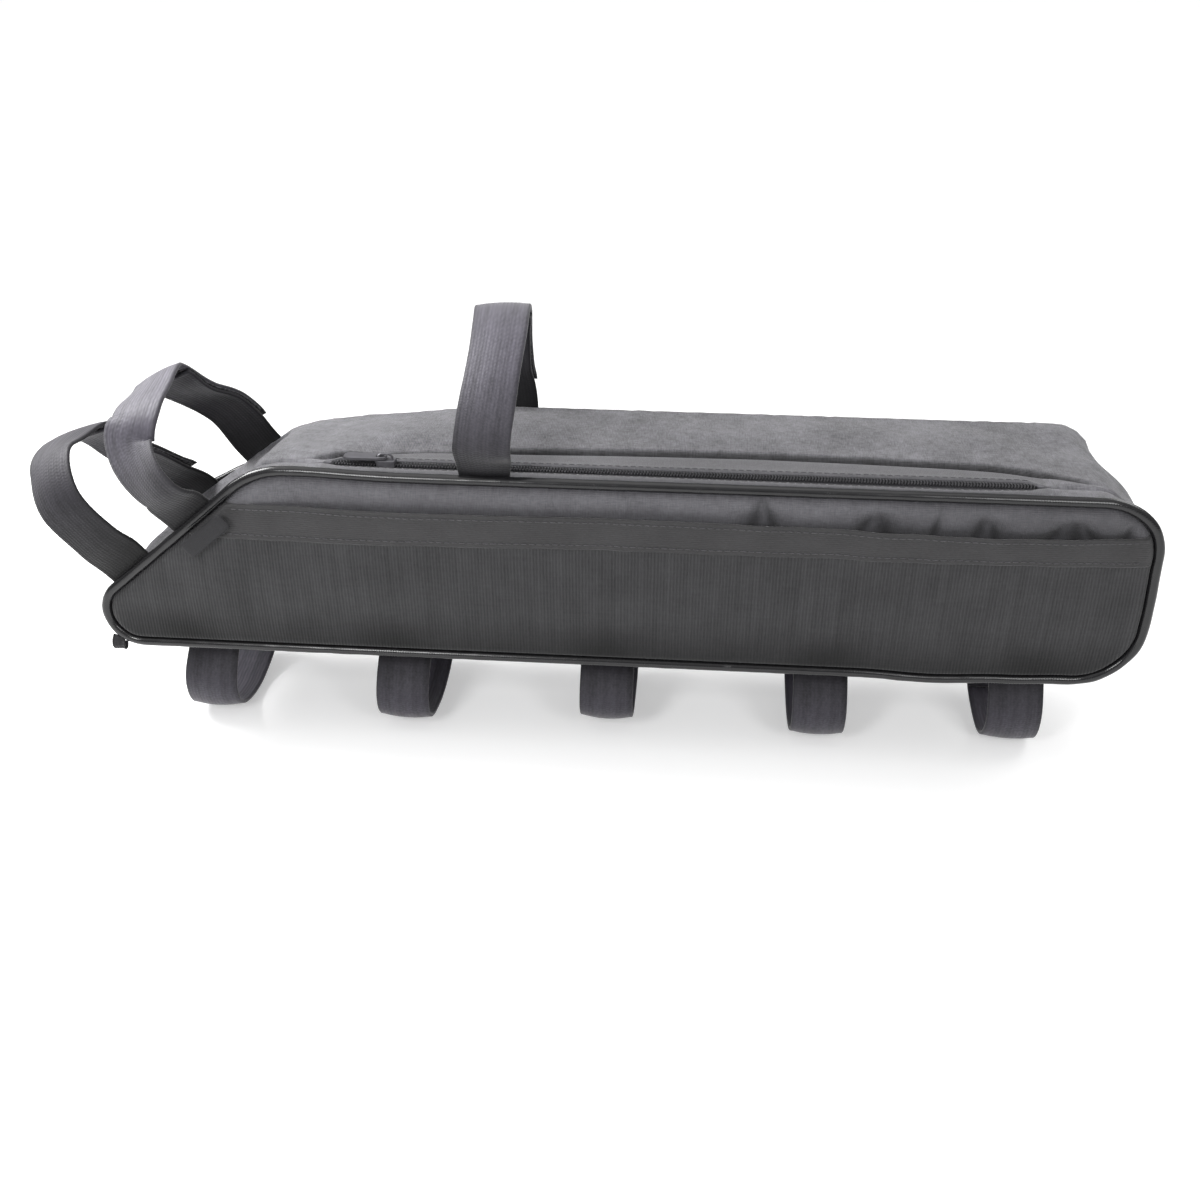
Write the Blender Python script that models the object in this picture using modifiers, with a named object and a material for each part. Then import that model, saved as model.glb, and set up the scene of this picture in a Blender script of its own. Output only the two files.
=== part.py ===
"""Soft bike frame bag: padded body, side pocket, top zip and hook-and-loop straps.

Metres, +Z up.  +X runs from the sloped nose to the square tail, and -Y is the
side with the pocket.  The origin is on the bottom face, between the second and
third bottom straps, below the top strap.
"""

import math

import bmesh
import bpy
from mathutils import Vector
from mathutils.geometry import interpolate_bezier

MM = 0.001

# Body outline, measured over the piping
NOSE_X = -182 * MM
TAIL_X = 280 * MM
BOTTOM_Z = -2.5 * MM
TOP_Z = 88.5 * MM
NOSE_RADIUS = 17.7 * MM
APEX_RADIUS = 40 * MM
TAIL_RADIUS = 28 * MM
SLOPE = math.radians(40)

# Walls, as distances in from the outline or out from the middle plane
GAP = 0.3 * MM
PIPING_RADIUS = 2.3 * MM
PIPING_Y = 43.7 * MM
SIDE_INSET = 4.9 * MM
SIDE_FACE_Y = 45.2 * MM
SIDE_CLOTH = 1.2 * MM
SIDE_FOAM = 3.0 * MM
GUSSET_INSET = 2.5 * MM
GUSSET_CLOTH = 1.4 * MM
GUSSET_HALF = 41.1 * MM
FOAM_HALF = 40.4 * MM
GUSSET_FOAM = 3.0 * MM
LINING = 0.8 * MM
NOSE_SEAM_X = -162 * MM
TAIL_SEAM_X = 251.5 * MM

# Zip and top flap
SLIT_Y = -27 * MM
ZIP_LEFT = -72 * MM
ZIP_RIGHT = 228 * MM
FLAP_LEFT = -39 * MM
FLAP_RIGHT = 199 * MM
FLAP_BACK_Y = 37 * MM
COIL_WIDTH = 1.75 * MM
COIL_HEIGHT = 2.4 * MM
COIL_TOP_DROP = 0.1 * MM
TAPE_WIDTH = 7.5 * MM
TAPE = 0.6 * MM
STOP_LENGTH = 3.2 * MM
BAND_BACK_Y = -5.3 * MM
BAND_DROP = 0.5 * MM
FLAP_CROWN = 2.5 * MM
FLAP_FOAM = 3.0 * MM
BACK_EDGE_DEPTH = 2.1 * MM
RIM_Z = 77.5 * MM

# Slider and pull tab
SLIDER_X = -49 * MM
SLIDER_LENGTH = 9 * MM
SLIDER_PLATE = 1.2 * MM
SLIDER_FLANGE = 0.5 * MM
SLIDER_DEPTH = 1.6 * MM
SLIDER_PLAN = [(-0.5, 0.42), (-0.44, 0.76), (-0.3, 1), (0.1, 1), (0.3, 0.95),
               (0.46, 0.92), (0.5, 0.72)]
SLIDER_BEVEL = 0.2 * MM
CROWN_REACH = 3 * MM
CROWN_WIRE = 0.55 * MM
PIVOT_RISE = 0.95 * MM
CROWN_RISE = 2.9 * MM
CROWN_SHOULDER = 0.6
TAB_LENGTH = 18 * MM
TAB_HALF = 3.0 * MM
TAB_THICK = 1.0 * MM
TAB_CORNER = 0.6
TAB_EYE = 3.4 * MM

# Pocket on the left side
POCKET_TOP = 73 * MM
HEM_BOTTOM = 58.5 * MM
POCKET_INSET = 5.2 * MM
POCKET_CLOTH = 1.0 * MM
POCKET_CROWN = 5.2 * MM
HEM_CLOTH = 0.8 * MM

# Bare woven tag beside the slope
TAG_CENTRE = (-124.5 * MM, 59.5 * MM)
TAG_LENGTH = 26 * MM
TAG_WIDTH = 8 * MM
TAG_CLOTH = 0.6 * MM

# Straps of 25 mm webbing
WEBBING = 25 * MM
STRAP_CLOTH = 1.6 * MM
PATCH_CLOTH = 0.8 * MM
TOP_STRAP_X = -1 * MM
NOSE_STRAP_RUNS = {"lower": 15.8 * MM, "upper": 57.5 * MM}
BOTTOM_STRAP_X = [-141 * MM, -48 * MM, 48 * MM, 147 * MM, 236.5 * MM]
BOTTOM_STRAP_FRONT = [34 * MM, 38 * MM, 35 * MM, 36 * MM, 29 * MM]
BOTTOM_STRAP_REAR = [36 * MM, 36 * MM, 34 * MM, 30 * MM, 25 * MM]
BOTTOM_STRAP_LEAN = [-8 * MM, -8 * MM, 4 * MM, -8 * MM, -10 * MM]
BOTTOM_STRAP_DROP = 48.5 * MM
SEAT_HALF = 10.5 * MM
SEAT_RECESS = 0.5 * MM
SEAT_MARGIN = 0.9 * MM
FOOT_Y = 40.2 * MM
FOOT_RISE = 11 * MM
PEEL_RISE = 0.1 * MM

# Each arched strap between its seams, as y and the height over the cloth under it
TOP_LOOP = [(-51, 18), (-44, 38), (-26, 54.5), (-3.5, 61), (18.5, 57), (36, 44.5), (44, 23)]
NOSE_LOOPS = {
    "lower": [(-51.5, 19), (-48.5, 41), (-32.5, 56.5), (-11, 62.5), (11, 58), (28.5, 42.5), (39, 22)],
    "upper": [(-50, 18), (-42, 37.5), (-24, 49.5), (-3, 54.5), (18, 53.5), (34.5, 41), (43, 21.5)],
}

# Where things lie on a strap, as shares of the way round its loop
LOOP_MIDDLE = 0.5
TAB_START = 0.63
ARCH_PATCH_END = 0.88
ARCH_TAIL_END = 0.9
DROP_PATCH_END = 0.84
DROP_TAIL_END = 0.86
DROP_TAB_END = 0.96

# Curve handles, as shares of the span they round
BELLY_SHARE = 0.62
BELLY_PULL = 0.7
DROP_PULL = 0.5
LOW_PULL = 12 * MM
SEAT_REACH = 5 * MM

ARC_STEP = math.radians(13)
ARCH_STEPS = 4
DROP_STEPS = 7


def arc(centre, radius, start, end):
    """Points of an arc, both ends included."""
    steps = max(2, round(abs(end - start) / ARC_STEP))
    angles = [start + (end - start) * i / steps for i in range(steps + 1)]
    return [Vector((centre[0] + radius * math.cos(a), centre[1] + radius * math.sin(a)))
            for a in angles]


def nose_centre():
    return Vector((NOSE_X + NOSE_RADIUS, BOTTOM_Z + NOSE_RADIUS))


def apex_centre():
    """The centre whose arc meets both the flat top and the slope."""
    rise = TOP_Z - APEX_RADIUS - nose_centre().y
    run = (rise * math.cos(SLOPE) + APEX_RADIUS - NOSE_RADIUS) / math.sin(SLOPE)
    return Vector((nose_centre().x + run, TOP_Z - APEX_RADIUS))


def left_end(inset):
    """Apex and nose corners in x and z, from the top round to the bottom."""
    slope_normal = math.radians(90) + SLOPE
    apex = arc(apex_centre(), APEX_RADIUS - inset, math.radians(90), slope_normal)
    nose = arc(nose_centre(), NOSE_RADIUS - inset, slope_normal, math.radians(270))
    return apex + nose


def right_end(inset):
    """Tail corners in x and z, from the bottom round to the top."""
    low = (TAIL_X - TAIL_RADIUS, BOTTOM_Z + TAIL_RADIUS)
    high = (TAIL_X - TAIL_RADIUS, TOP_Z - TAIL_RADIUS)
    radius = TAIL_RADIUS - inset
    return arc(low, radius, math.radians(-90), 0) + arc(high, radius, 0, math.radians(90))


def outline(inset):
    return left_end(inset) + right_end(inset)


def outline_span(height, inset):
    """Least and greatest x of the outline at a height."""
    points = outline(inset)
    crossings = []
    for a, b in zip(points, points[1:] + points[:1]):
        if (a.y - height) * (b.y - height) <= 0 and a.y != b.y:
            crossings.append(a.x + (b.x - a.x) * (height - a.y) / (b.y - a.y))
    return min(crossings), max(crossings)


def in_side_plane(points):
    return [Vector((p.x, 0, p.y)) for p in points]


def new_collection(name):
    collection = bpy.data.collections.new(name)
    bpy.context.scene.collection.children.link(collection)
    return collection


def make_material(name, colour, roughness, metallic=0.0):
    finish = bpy.data.materials.new(name)
    finish.use_nodes = True
    finish.diffuse_color = (*colour, 1)
    shader = finish.node_tree.nodes["Principled BSDF"]
    shader.inputs["Base Color"].default_value = (*colour, 1)
    shader.inputs["Roughness"].default_value = roughness
    shader.inputs["Metallic"].default_value = metallic
    return finish


def add_object(name, data, finish=None, parent=None):
    """Link a mesh or curve as a named part of the bag."""
    obj = bpy.data.objects.new(name, data)
    PARTS.objects.link(obj)
    obj.parent = parent
    if finish:
        data.materials.append(finish)
    return obj


def add_mesh(name, bm, finish=None, parent=None):
    bmesh.ops.recalc_face_normals(bm, faces=bm.faces)
    mesh = bpy.data.meshes.new(name)
    bm.to_mesh(mesh)
    bm.free()
    return add_object(name, mesh, finish, parent)


def thicken(obj, thickness):
    wall = obj.modifiers.new("cloth thickness", "SOLIDIFY")
    wall.thickness = thickness
    wall.offset = 0
    wall.use_even_offset = True


def ribbon(name, path, across, thickness, finish, parent=None):
    """A strip of cloth of full width across, bent along a path."""
    bm = bmesh.new()
    verts = [bm.verts.new(point - across / 2) for point in path]
    edges = [bm.edges.new(pair) for pair in zip(verts, verts[1:])]
    swept = bmesh.ops.extrude_edge_only(bm, edges=edges)["geom"]
    moved = [item for item in swept if isinstance(item, bmesh.types.BMVert)]
    bmesh.ops.translate(bm, verts=moved, vec=across)
    obj = add_mesh(name, bm, finish, parent)
    thicken(obj, thickness)
    return obj


def side_plate(name, inset, outer_y, thickness, side, finish):
    """A flat cut of the outline, its outer face at outer_y on one side."""
    curve = bpy.data.curves.new(name, "CURVE")
    curve.dimensions = "2D"
    curve.fill_mode = "BOTH"
    curve.extrude = thickness / 2
    points = outline(inset)
    spline = curve.splines.new("POLY")
    spline.points.add(len(points) - 1)
    for target, point in zip(spline.points, points):
        target.co = (point.x, point.y, 0, 1)
    spline.use_cyclic_u = True
    obj = add_object(name, curve, finish)
    obj.rotation_euler.x = math.radians(90)
    obj.location.y = side * (outer_y - thickness / 2)
    return obj


def block(name, low, high, finish=None, parent=None, bevel=0):
    """A box between two corners, with its edges rounded if asked."""
    low = Vector(low)
    high = Vector(high)
    bm = bmesh.new()
    bmesh.ops.create_cube(bm, size=1)
    bmesh.ops.scale(bm, vec=high - low, verts=bm.verts)
    bmesh.ops.translate(bm, vec=(low + high) / 2, verts=bm.verts)
    obj = add_mesh(name, bm, finish, parent)
    if bevel:
        rounding = obj.modifiers.new("rounded edges", "BEVEL")
        rounding.width = bevel
        rounding.segments = 2
    return obj


def prism(name, plan, low_z, high_z, finish=None, parent=None):
    """A shape drawn in x and y, standing from one height to another."""
    bm = bmesh.new()
    face = bm.faces.new([bm.verts.new((x, y, low_z)) for x, y in plan])
    swept = bmesh.ops.extrude_face_region(bm, geom=[face])["geom"]
    moved = [item for item in swept if isinstance(item, bmesh.types.BMVert)]
    bmesh.ops.translate(bm, verts=moved, vec=(0, 0, high_z - low_z))
    return add_mesh(name, bm, finish, parent)


def make_cutter(obj):
    PARTS.objects.unlink(obj)
    CUTTERS.objects.link(obj)
    obj.hide_render = True
    obj.display_type = "WIRE"
    return obj


def cut(obj, cutter):
    hole = obj.modifiers.new("cut " + cutter.name, "BOOLEAN")
    hole.operation = "DIFFERENCE"
    hole.solver = "EXACT"
    hole.object = cutter


def make_piping(name, side):
    """Cord covered in cloth, sewn round the edge of one side."""
    curve = bpy.data.curves.new(name, "CURVE")
    curve.dimensions = "3D"
    curve.bevel_depth = PIPING_RADIUS
    curve.bevel_resolution = 2
    points = outline(PIPING_RADIUS)
    spline = curve.splines.new("POLY")
    spline.points.add(len(points) - 1)
    for target, point in zip(spline.points, points):
        target.co = (point.x, side * PIPING_Y, point.y, 1)
    spline.use_cyclic_u = True
    return add_object(name, curve, PIPING_CLOTH)


def make_sides():
    for label, side in (("left", -1), ("right", 1)):
        side_plate("side_panel_" + label, SIDE_INSET, SIDE_FACE_Y, SIDE_CLOTH, side, BODY_CLOTH)
        foam_y = SIDE_FACE_Y - SIDE_CLOTH - GAP
        side_plate("side_foam_" + label, SIDE_INSET, foam_y, SIDE_FOAM, side, FOAM)
        make_piping("piping_" + label, side)


def bottom_path(inset):
    """The bottom cloth, drawn up a little where each strap is sewn on."""
    low = BOTTOM_Z + inset
    half = WEBBING / 2 + SEAT_MARGIN
    path = [Vector((NOSE_SEAM_X + GAP, low))]
    for x in BOTTOM_STRAP_X:
        path.append(Vector((x - half - SEAT_RECESS, low)))
        path.append(Vector((x - half, low + SEAT_RECESS)))
        path.append(Vector((x + half, low + SEAT_RECESS)))
        path.append(Vector((x + half + SEAT_RECESS, low)))
    path.append(Vector((TAIL_SEAM_X - GAP, low)))
    return in_side_plane(path)


def nose_path(inset):
    start = Vector((FLAP_LEFT - GAP, TOP_Z - inset))
    end = Vector((NOSE_SEAM_X, BOTTOM_Z + inset))
    return in_side_plane([start] + left_end(inset) + [end])


def tail_path(inset):
    start = Vector((TAIL_SEAM_X, BOTTOM_Z + inset))
    end = Vector((FLAP_RIGHT + GAP, TOP_Z - inset))
    return in_side_plane([start] + right_end(inset) + [end])


def foam_path(inset):
    start = Vector((FLAP_LEFT - GAP, TOP_Z - inset))
    end = Vector((FLAP_RIGHT + GAP, TOP_Z - inset))
    return in_side_plane([start] + outline(inset) + [end])


def make_zip_slots():
    """Cutters for the closed ends of the zip in the top cloth and foam."""
    half = COIL_WIDTH + SLIDER_FLANGE + 3 * GAP
    low_z = TOP_Z - GUSSET_INSET - GUSSET_CLOTH - GUSSET_FOAM - 2 * GAP
    high_z = TOP_Z + GUSSET_INSET
    slots = []
    ends = ((ZIP_LEFT - STOP_LENGTH - 2 * GAP, FLAP_LEFT + GAP),
            (FLAP_RIGHT - GAP, ZIP_RIGHT + STOP_LENGTH + 2 * GAP))
    for label, (near, far) in zip(("left", "right"), ends):
        slot = block("zip_slot_" + label, (near, SLIT_Y - half, low_z),
                     (far, SLIT_Y + half, high_z))
        slots.append(make_cutter(slot))
    return slots


def make_gusset(slots):
    """The band of cloth and foam round the edge, in its sewn lengths."""
    across = Vector((0, 2 * GUSSET_HALF, 0))
    middle = GUSSET_INSET + GUSSET_CLOTH / 2
    ribbon("bottom_panel", bottom_path(middle), across, GUSSET_CLOTH, BODY_CLOTH)
    nose = ribbon("nose_panel", nose_path(middle), across, GUSSET_CLOTH, BODY_CLOTH)
    tail = ribbon("tail_panel", tail_path(middle), across, GUSSET_CLOTH, BODY_CLOTH)
    foam_inset = GUSSET_INSET + GUSSET_CLOTH + SEAT_RECESS + GAP + GUSSET_FOAM / 2
    foam = ribbon("gusset_foam", foam_path(foam_inset), Vector((0, 2 * FOAM_HALF, 0)),
                  GUSSET_FOAM, FOAM)
    for obj in (nose, foam):
        cut(obj, slots[0])
    for obj in (tail, foam):
        cut(obj, slots[1])


def solid_outline(name, inset, half_width, finish=None):
    """The whole outline as a thick slab, for a shell or its hollow."""
    bm = bmesh.new()
    points = [Vector((p.x, -half_width, p.y)) for p in outline(inset)]
    face = bm.faces.new([bm.verts.new(p) for p in points])
    swept = bmesh.ops.extrude_face_region(bm, geom=[face])["geom"]
    moved = [item for item in swept if isinstance(item, bmesh.types.BMVert)]
    bmesh.ops.translate(bm, verts=moved, vec=(0, 2 * half_width, 0))
    return add_mesh(name, bm, finish)


def make_lining():
    """A thin tub inside the foam, open under the flap."""
    inset = GUSSET_INSET + GUSSET_CLOTH + SEAT_RECESS + GUSSET_FOAM + 2 * GAP
    tub = solid_outline("lining_tub", inset, FOAM_HALF, LINING_CLOTH)
    hollow = make_cutter(solid_outline("lining_hollow", inset + LINING, FOAM_HALF - LINING))
    mouth = block("lining_mouth", (FLAP_LEFT - 2 * GAP, -GUSSET_HALF, RIM_Z),
                  (FLAP_RIGHT + 2 * GAP, GUSSET_HALF, TOP_Z))
    cut(tub, hollow)
    cut(tub, make_cutter(mouth))


def top_block(name, x_range, y_range, z_range, finish, parent=None):
    """A box given by its ranges."""
    low = (x_range[0], y_range[0], z_range[0])
    high = (x_range[1], y_range[1], z_range[1])
    return block(name, low, high, finish, parent)


def make_zip_chain(flap):
    """Tapes and coils of both halves; the closed ends stay with the body."""
    skin = TOP_Z - GUSSET_INSET
    coil_z = (skin - COIL_TOP_DROP - COIL_HEIGHT, skin - COIL_TOP_DROP)
    tape_z = (coil_z[0] + GAP, coil_z[0] + GAP + TAPE)
    near = GAP / 2
    far = near + COIL_WIDTH
    front = top_block("zip_coil_front", (ZIP_LEFT, ZIP_RIGHT),
                      (SLIT_Y - far, SLIT_Y + far), coil_z, ZIP_NYLON)
    opening = block("zip_mouth", (FLAP_LEFT - GAP, SLIT_Y - near, coil_z[0] - GAP),
                    (FLAP_RIGHT + GAP, SLIT_Y + far + GAP, coil_z[1] + GAP))
    cut(front, make_cutter(opening))
    top_block("zip_coil_back", (FLAP_LEFT, FLAP_RIGHT),
              (SLIT_Y + near, SLIT_Y + far), coil_z, ZIP_NYLON, flap)
    tape_near = far + GAP
    tape_far = tape_near + TAPE_WIDTH
    top_block("zip_tape_front", (FLAP_LEFT, FLAP_RIGHT),
              (SLIT_Y - tape_far, SLIT_Y - tape_near), tape_z, ZIP_NYLON)
    top_block("zip_tape_back", (FLAP_LEFT, FLAP_RIGHT),
              (SLIT_Y + tape_near, SLIT_Y + tape_far), tape_z, ZIP_NYLON, flap)
    for label, x in (("left", ZIP_LEFT - GAP - STOP_LENGTH), ("right", ZIP_RIGHT + GAP)):
        block("zip_stop_" + label, (x, SLIT_Y - COIL_WIDTH, coil_z[0]),
              (x + STOP_LENGTH, SLIT_Y + COIL_WIDTH, skin), DARK_METAL, bevel=0.4 * MM)


def crowned_panel(name, x_range, y_range, height, crown, finish, parent):
    """A cloth panel that rises to a soft crown in its middle."""
    bm = bmesh.new()
    bmesh.ops.create_grid(bm, x_segments=12, y_segments=4, size=1)
    centre = Vector((sum(x_range) / 2, sum(y_range) / 2, height))
    half = Vector(((x_range[1] - x_range[0]) / 2, (y_range[1] - y_range[0]) / 2, 0))
    for vert in bm.verts:
        swell = (1 - vert.co.x ** 6) * (1 - vert.co.y ** 2)
        vert.co = centre + Vector((half.x * vert.co.x, half.y * vert.co.y, crown * swell))
    obj = add_mesh(name, bm, finish, parent)
    thicken(obj, GUSSET_CLOTH)
    return obj


def make_flap(flap):
    """The padded top that lifts between the ends of the zip."""
    skin = TOP_Z - GUSSET_INSET
    x_range = (FLAP_LEFT, FLAP_RIGHT)
    band_y = SLIT_Y + COIL_WIDTH + SLIDER_FLANGE + 3 * GAP
    band_top = skin - BAND_DROP
    cloth_low = skin - GUSSET_CLOTH
    top_block("flap_band", x_range, (band_y, BAND_BACK_Y), (cloth_low, band_top), ZIP_GUARD, flap)
    crowned_panel("flap_panel", x_range, (BAND_BACK_Y + GAP, FLAP_BACK_Y),
                  skin - GUSSET_CLOTH / 2, FLAP_CROWN, BODY_CLOTH, flap)
    foam_y = SLIT_Y + COIL_WIDTH + TAPE_WIDTH + 3 * GAP
    foam_z = (cloth_low - GAP - FLAP_FOAM, cloth_low - GAP)
    top_block("flap_foam", x_range, (foam_y, FLAP_BACK_Y), foam_z, FOAM, flap)
    lining_z = (foam_z[0] - GAP - LINING, foam_z[0] - GAP)
    top_block("flap_lining", x_range, (band_y, FLAP_BACK_Y), lining_z, LINING_CLOTH, flap)


def make_top_edges():
    """Fixed strips of top cloth in front of the zip and behind the flap."""
    skin = TOP_Z - GUSSET_INSET
    x_range = (FLAP_LEFT, FLAP_RIGHT)
    strip_y = SLIT_Y - COIL_WIDTH - SLIDER_FLANGE - 3 * GAP
    top_block("front_strip", x_range, (-GUSSET_HALF, strip_y), (skin - GUSSET_CLOTH, skin), BODY_CLOTH)
    top_block("back_edge", x_range, (FLAP_BACK_Y + 2 * GAP, GUSSET_HALF),
              (skin - BACK_EDGE_DEPTH, skin), BODY_CLOTH)


def make_slider(slide):
    """Zip slider: a plate with side flanges over the coils, and a wire crown."""
    half = COIL_WIDTH + SLIDER_FLANGE + 1.5 * GAP
    near = [(SLIDER_LENGTH * x, half * y) for x, y in SLIDER_PLAN]
    plan = near + [(x, -y) for x, y in reversed(near)]
    body = prism("slider_body", plan, -SLIDER_DEPTH, SLIDER_PLATE, DARK_METAL, slide)
    rounding = body.modifiers.new("rounded edges", "BEVEL")
    rounding.width = SLIDER_BEVEL
    rounding.limit_method = "ANGLE"
    rounding.segments = 2
    channel = block("slider_channel", (-SLIDER_LENGTH, -half + SLIDER_FLANGE, -2 * SLIDER_DEPTH),
                    (SLIDER_LENGTH, half - SLIDER_FLANGE, 0), parent=slide)
    cut(body, make_cutter(channel))
    crown = make_crown(slide, SLIDER_PLATE)
    join = body.modifiers.new("crown", "BOOLEAN")
    join.operation = "UNION"
    join.solver = "EXACT"
    join.object = make_cutter(crown)


def make_crown(slide, plate_top):
    """The wire arch that the pull tab hangs on, as a mesh."""
    curve = bpy.data.curves.new("crown_wire", "CURVE")
    curve.dimensions = "3D"
    curve.bevel_depth = CROWN_WIRE
    curve.bevel_resolution = 1
    curve.use_fill_caps = True
    sink = CROWN_WIRE
    rise = CROWN_RISE - CROWN_WIRE
    bend_z = rise * CROWN_SHOULDER
    bend_x = CROWN_REACH * CROWN_SHOULDER
    profile = [(-CROWN_REACH, -sink), (-CROWN_REACH, bend_z), (-bend_x, rise),
               (bend_x, rise), (CROWN_REACH, bend_z), (CROWN_REACH, -sink)]
    spline = curve.splines.new("POLY")
    spline.points.add(len(profile) - 1)
    for target, (x, z) in zip(spline.points, profile):
        target.co = (x, 0, plate_top + z, 1)
    wire = add_object("crown_curve", curve, parent=slide)
    bpy.context.view_layer.update()
    evaluated = wire.evaluated_get(bpy.context.evaluated_depsgraph_get())
    mesh = bpy.data.meshes.new_from_object(evaluated)
    bm = bmesh.new()
    bm.from_mesh(mesh)
    bmesh.ops.remove_doubles(bm, verts=bm.verts, dist=0.00001)
    crown = add_mesh("slider_crown", bm, parent=slide)
    bpy.data.objects.remove(wire)
    return crown


def make_tab(pivot):
    """Pull tab, lying towards the nose, with an eye round the crown."""
    curve = bpy.data.curves.new("pull_tab", "CURVE")
    curve.dimensions = "2D"
    curve.fill_mode = "BOTH"
    curve.extrude = TAB_THICK / 2
    bar = TAB_THICK / 2
    nib = TAB_HALF * TAB_CORNER
    rim = [(bar, nib), (bar, -nib), (-TAB_EYE - bar, -TAB_HALF), (-TAB_LENGTH + nib, -TAB_HALF),
           (-TAB_LENGTH, -nib), (-TAB_LENGTH, nib), (-TAB_LENGTH + nib, TAB_HALF),
           (-TAB_EYE - bar, TAB_HALF)]
    eye_half = CROWN_WIRE * 2
    eye = [(-bar, eye_half), (-bar, -eye_half), (-TAB_EYE - bar, -eye_half),
           (-TAB_EYE - bar, eye_half)]
    for loop in (rim, eye):
        spline = curve.splines.new("POLY")
        spline.points.add(len(loop) - 1)
        for target, (x, y) in zip(spline.points, loop):
            target.co = (x, y, 0, 1)
        spline.use_cyclic_u = True
    return add_object("pull_tab", curve, DARK_METAL, pivot)


def pocket_point(u, v):
    """Middle of the pocket cloth: u runs nose to tail, v from the seam to the hem."""
    low = BOTTOM_Z + POCKET_INSET
    height = low + (POCKET_TOP - low) * v
    left, right = outline_span(max(height, low + 0.05 * MM), POCKET_INSET)
    swell = (1 - abs(2 * u - 1) ** 6) * math.sin(math.pi / 2 * v ** 0.8)
    y = -SIDE_FACE_Y - GAP - POCKET_CLOTH / 2 - POCKET_CROWN * swell
    return Vector((left + (right - left) * u, y, height))


def pocket_sheet(name, v_low, rows, lift, thickness, finish):
    """Cloth that follows the pocket from height v_low up to the hem."""
    bm = bmesh.new()
    bmesh.ops.create_grid(bm, x_segments=14, y_segments=rows, size=0.5)
    for vert in bm.verts:
        u = vert.co.x + 0.5
        v = v_low + (1 - v_low) * (vert.co.y + 0.5) ** 1.4
        vert.co = pocket_point(u, v) - Vector((0, lift, 0))
    obj = add_mesh(name, bm, finish)
    thicken(obj, thickness)
    return obj


def make_pocket():
    pocket_sheet("pocket_panel", 0, 8, 0, POCKET_CLOTH, POCKET_MESH)
    low = BOTTOM_Z + POCKET_INSET
    v_hem = (HEM_BOTTOM - low) / (POCKET_TOP - low)
    lift = POCKET_CLOTH / 2 + GAP + HEM_CLOTH / 2 + 0.05 * MM
    pocket_sheet("pocket_hem", v_hem, 2, lift, HEM_CLOTH, HEM_TAPE)


def make_tag():
    """A bare tag sewn over the end of the hem, along the slope."""
    surface = pocket_point(0.1, 0.8).y - POCKET_CLOTH / 2 - HEM_CLOTH - 4 * GAP
    tag = block("seam_tag", (-TAG_LENGTH / 2, -TAG_CLOTH, -TAG_WIDTH / 2),
                (TAG_LENGTH / 2, 0, TAG_WIDTH / 2), TAG_SATIN, bevel=0.15 * MM)
    tag.location = (TAG_CENTRE[0], surface, TAG_CENTRE[1])
    tag.rotation_euler.y = -SLOPE
    return tag


def bezier_path(knots, steps):
    """Points through knots given as (point, handle before, handle after)."""
    points = []
    for (start, _, leave), (end, arrive, _) in zip(knots, knots[1:]):
        corners = [Vector((*c, 0)) for c in (start, leave, arrive, end)]
        part = interpolate_bezier(*corners, steps)
        points += [Vector((p.x, p.y)) for p in part[:-1]]
    points.append(Vector(knots[-1][0]))
    return points


def arch_path(places):
    """A strap from the front seam over to the back seam, in y and height."""
    foot = Vector((-FOOT_Y, GAP))
    back_foot = Vector((FOOT_Y + layer_step(), GAP))
    points = [foot] + [Vector(place) * MM for place in places] + [back_foot]
    upright = Vector((0, FOOT_RISE))
    knots = [(foot, foot, foot + upright)]
    for before, point, after in zip(points, points[1:], points[2:]):
        pull = (after - before) / 6
        knots.append((point, point - pull, point + pull))
    knots.append((back_foot, back_foot + upright, back_foot))
    return bezier_path(knots, ARCH_STEPS)


def drop_path(front, rear, lean, drop):
    """A hanging loop from its sewn seat and back, in y and drop."""
    level = GAP + STRAP_CLOTH / 2 - SEAT_RECESS
    belly = drop * BELLY_SHARE
    side_pull = (drop - belly) * BELLY_PULL
    rear = rear + layer_step() / 2
    foot = (-SEAT_HALF - GAP, level)
    back_foot = (SEAT_HALF + layer_step(), level + layer_step() / 2)
    ahead = lean - (front + lean) * DROP_PULL
    behind = lean + (rear - lean) * DROP_PULL
    knots = [
        (foot, foot, (-SEAT_HALF - SEAT_REACH, level + SEAT_REACH)),
        ((-front, belly), (-front, belly - LOW_PULL), (-front, belly + side_pull)),
        ((lean, drop), (ahead, drop), (behind, drop)),
        ((rear, belly), (rear, belly + side_pull), (rear, belly - LOW_PULL)),
        (back_foot, (back_foot[0] + SEAT_REACH, back_foot[1] + SEAT_REACH), back_foot),
    ]
    return bezier_path(knots, DROP_STEPS)


def layer_step():
    """Distance between the middles of the two webbings where they close."""
    return STRAP_CLOTH + PATCH_CLOTH + 2 * GAP


def offset_path(path, distance):
    """The path moved outwards from the loop by a distance."""
    moved = []
    for i, point in enumerate(path):
        before = path[max(i - 1, 0)]
        after = path[min(i + 1, len(path) - 1)]
        along = (after - before).normalized()
        moved.append(point + Vector((-along.y, along.x)) * distance)
    return moved


def cut_path(path, start, end):
    """The part of a path between two shares of its number of steps."""
    last = len(path) - 1
    return path[round(last * start):round(last * end) + 1]


def in_strap_plane(path, origin):
    return [Vector((0, p.x - origin[0], p.y - origin[1])) for p in path]


def empty(name, location, turn_y=0.0, parent=None):
    frame = bpy.data.objects.new(name, None)
    PARTS.objects.link(frame)
    frame.empty_display_size = 0.01
    frame.location = location
    frame.rotation_euler.y = turn_y
    frame.parent = parent
    return frame


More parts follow.
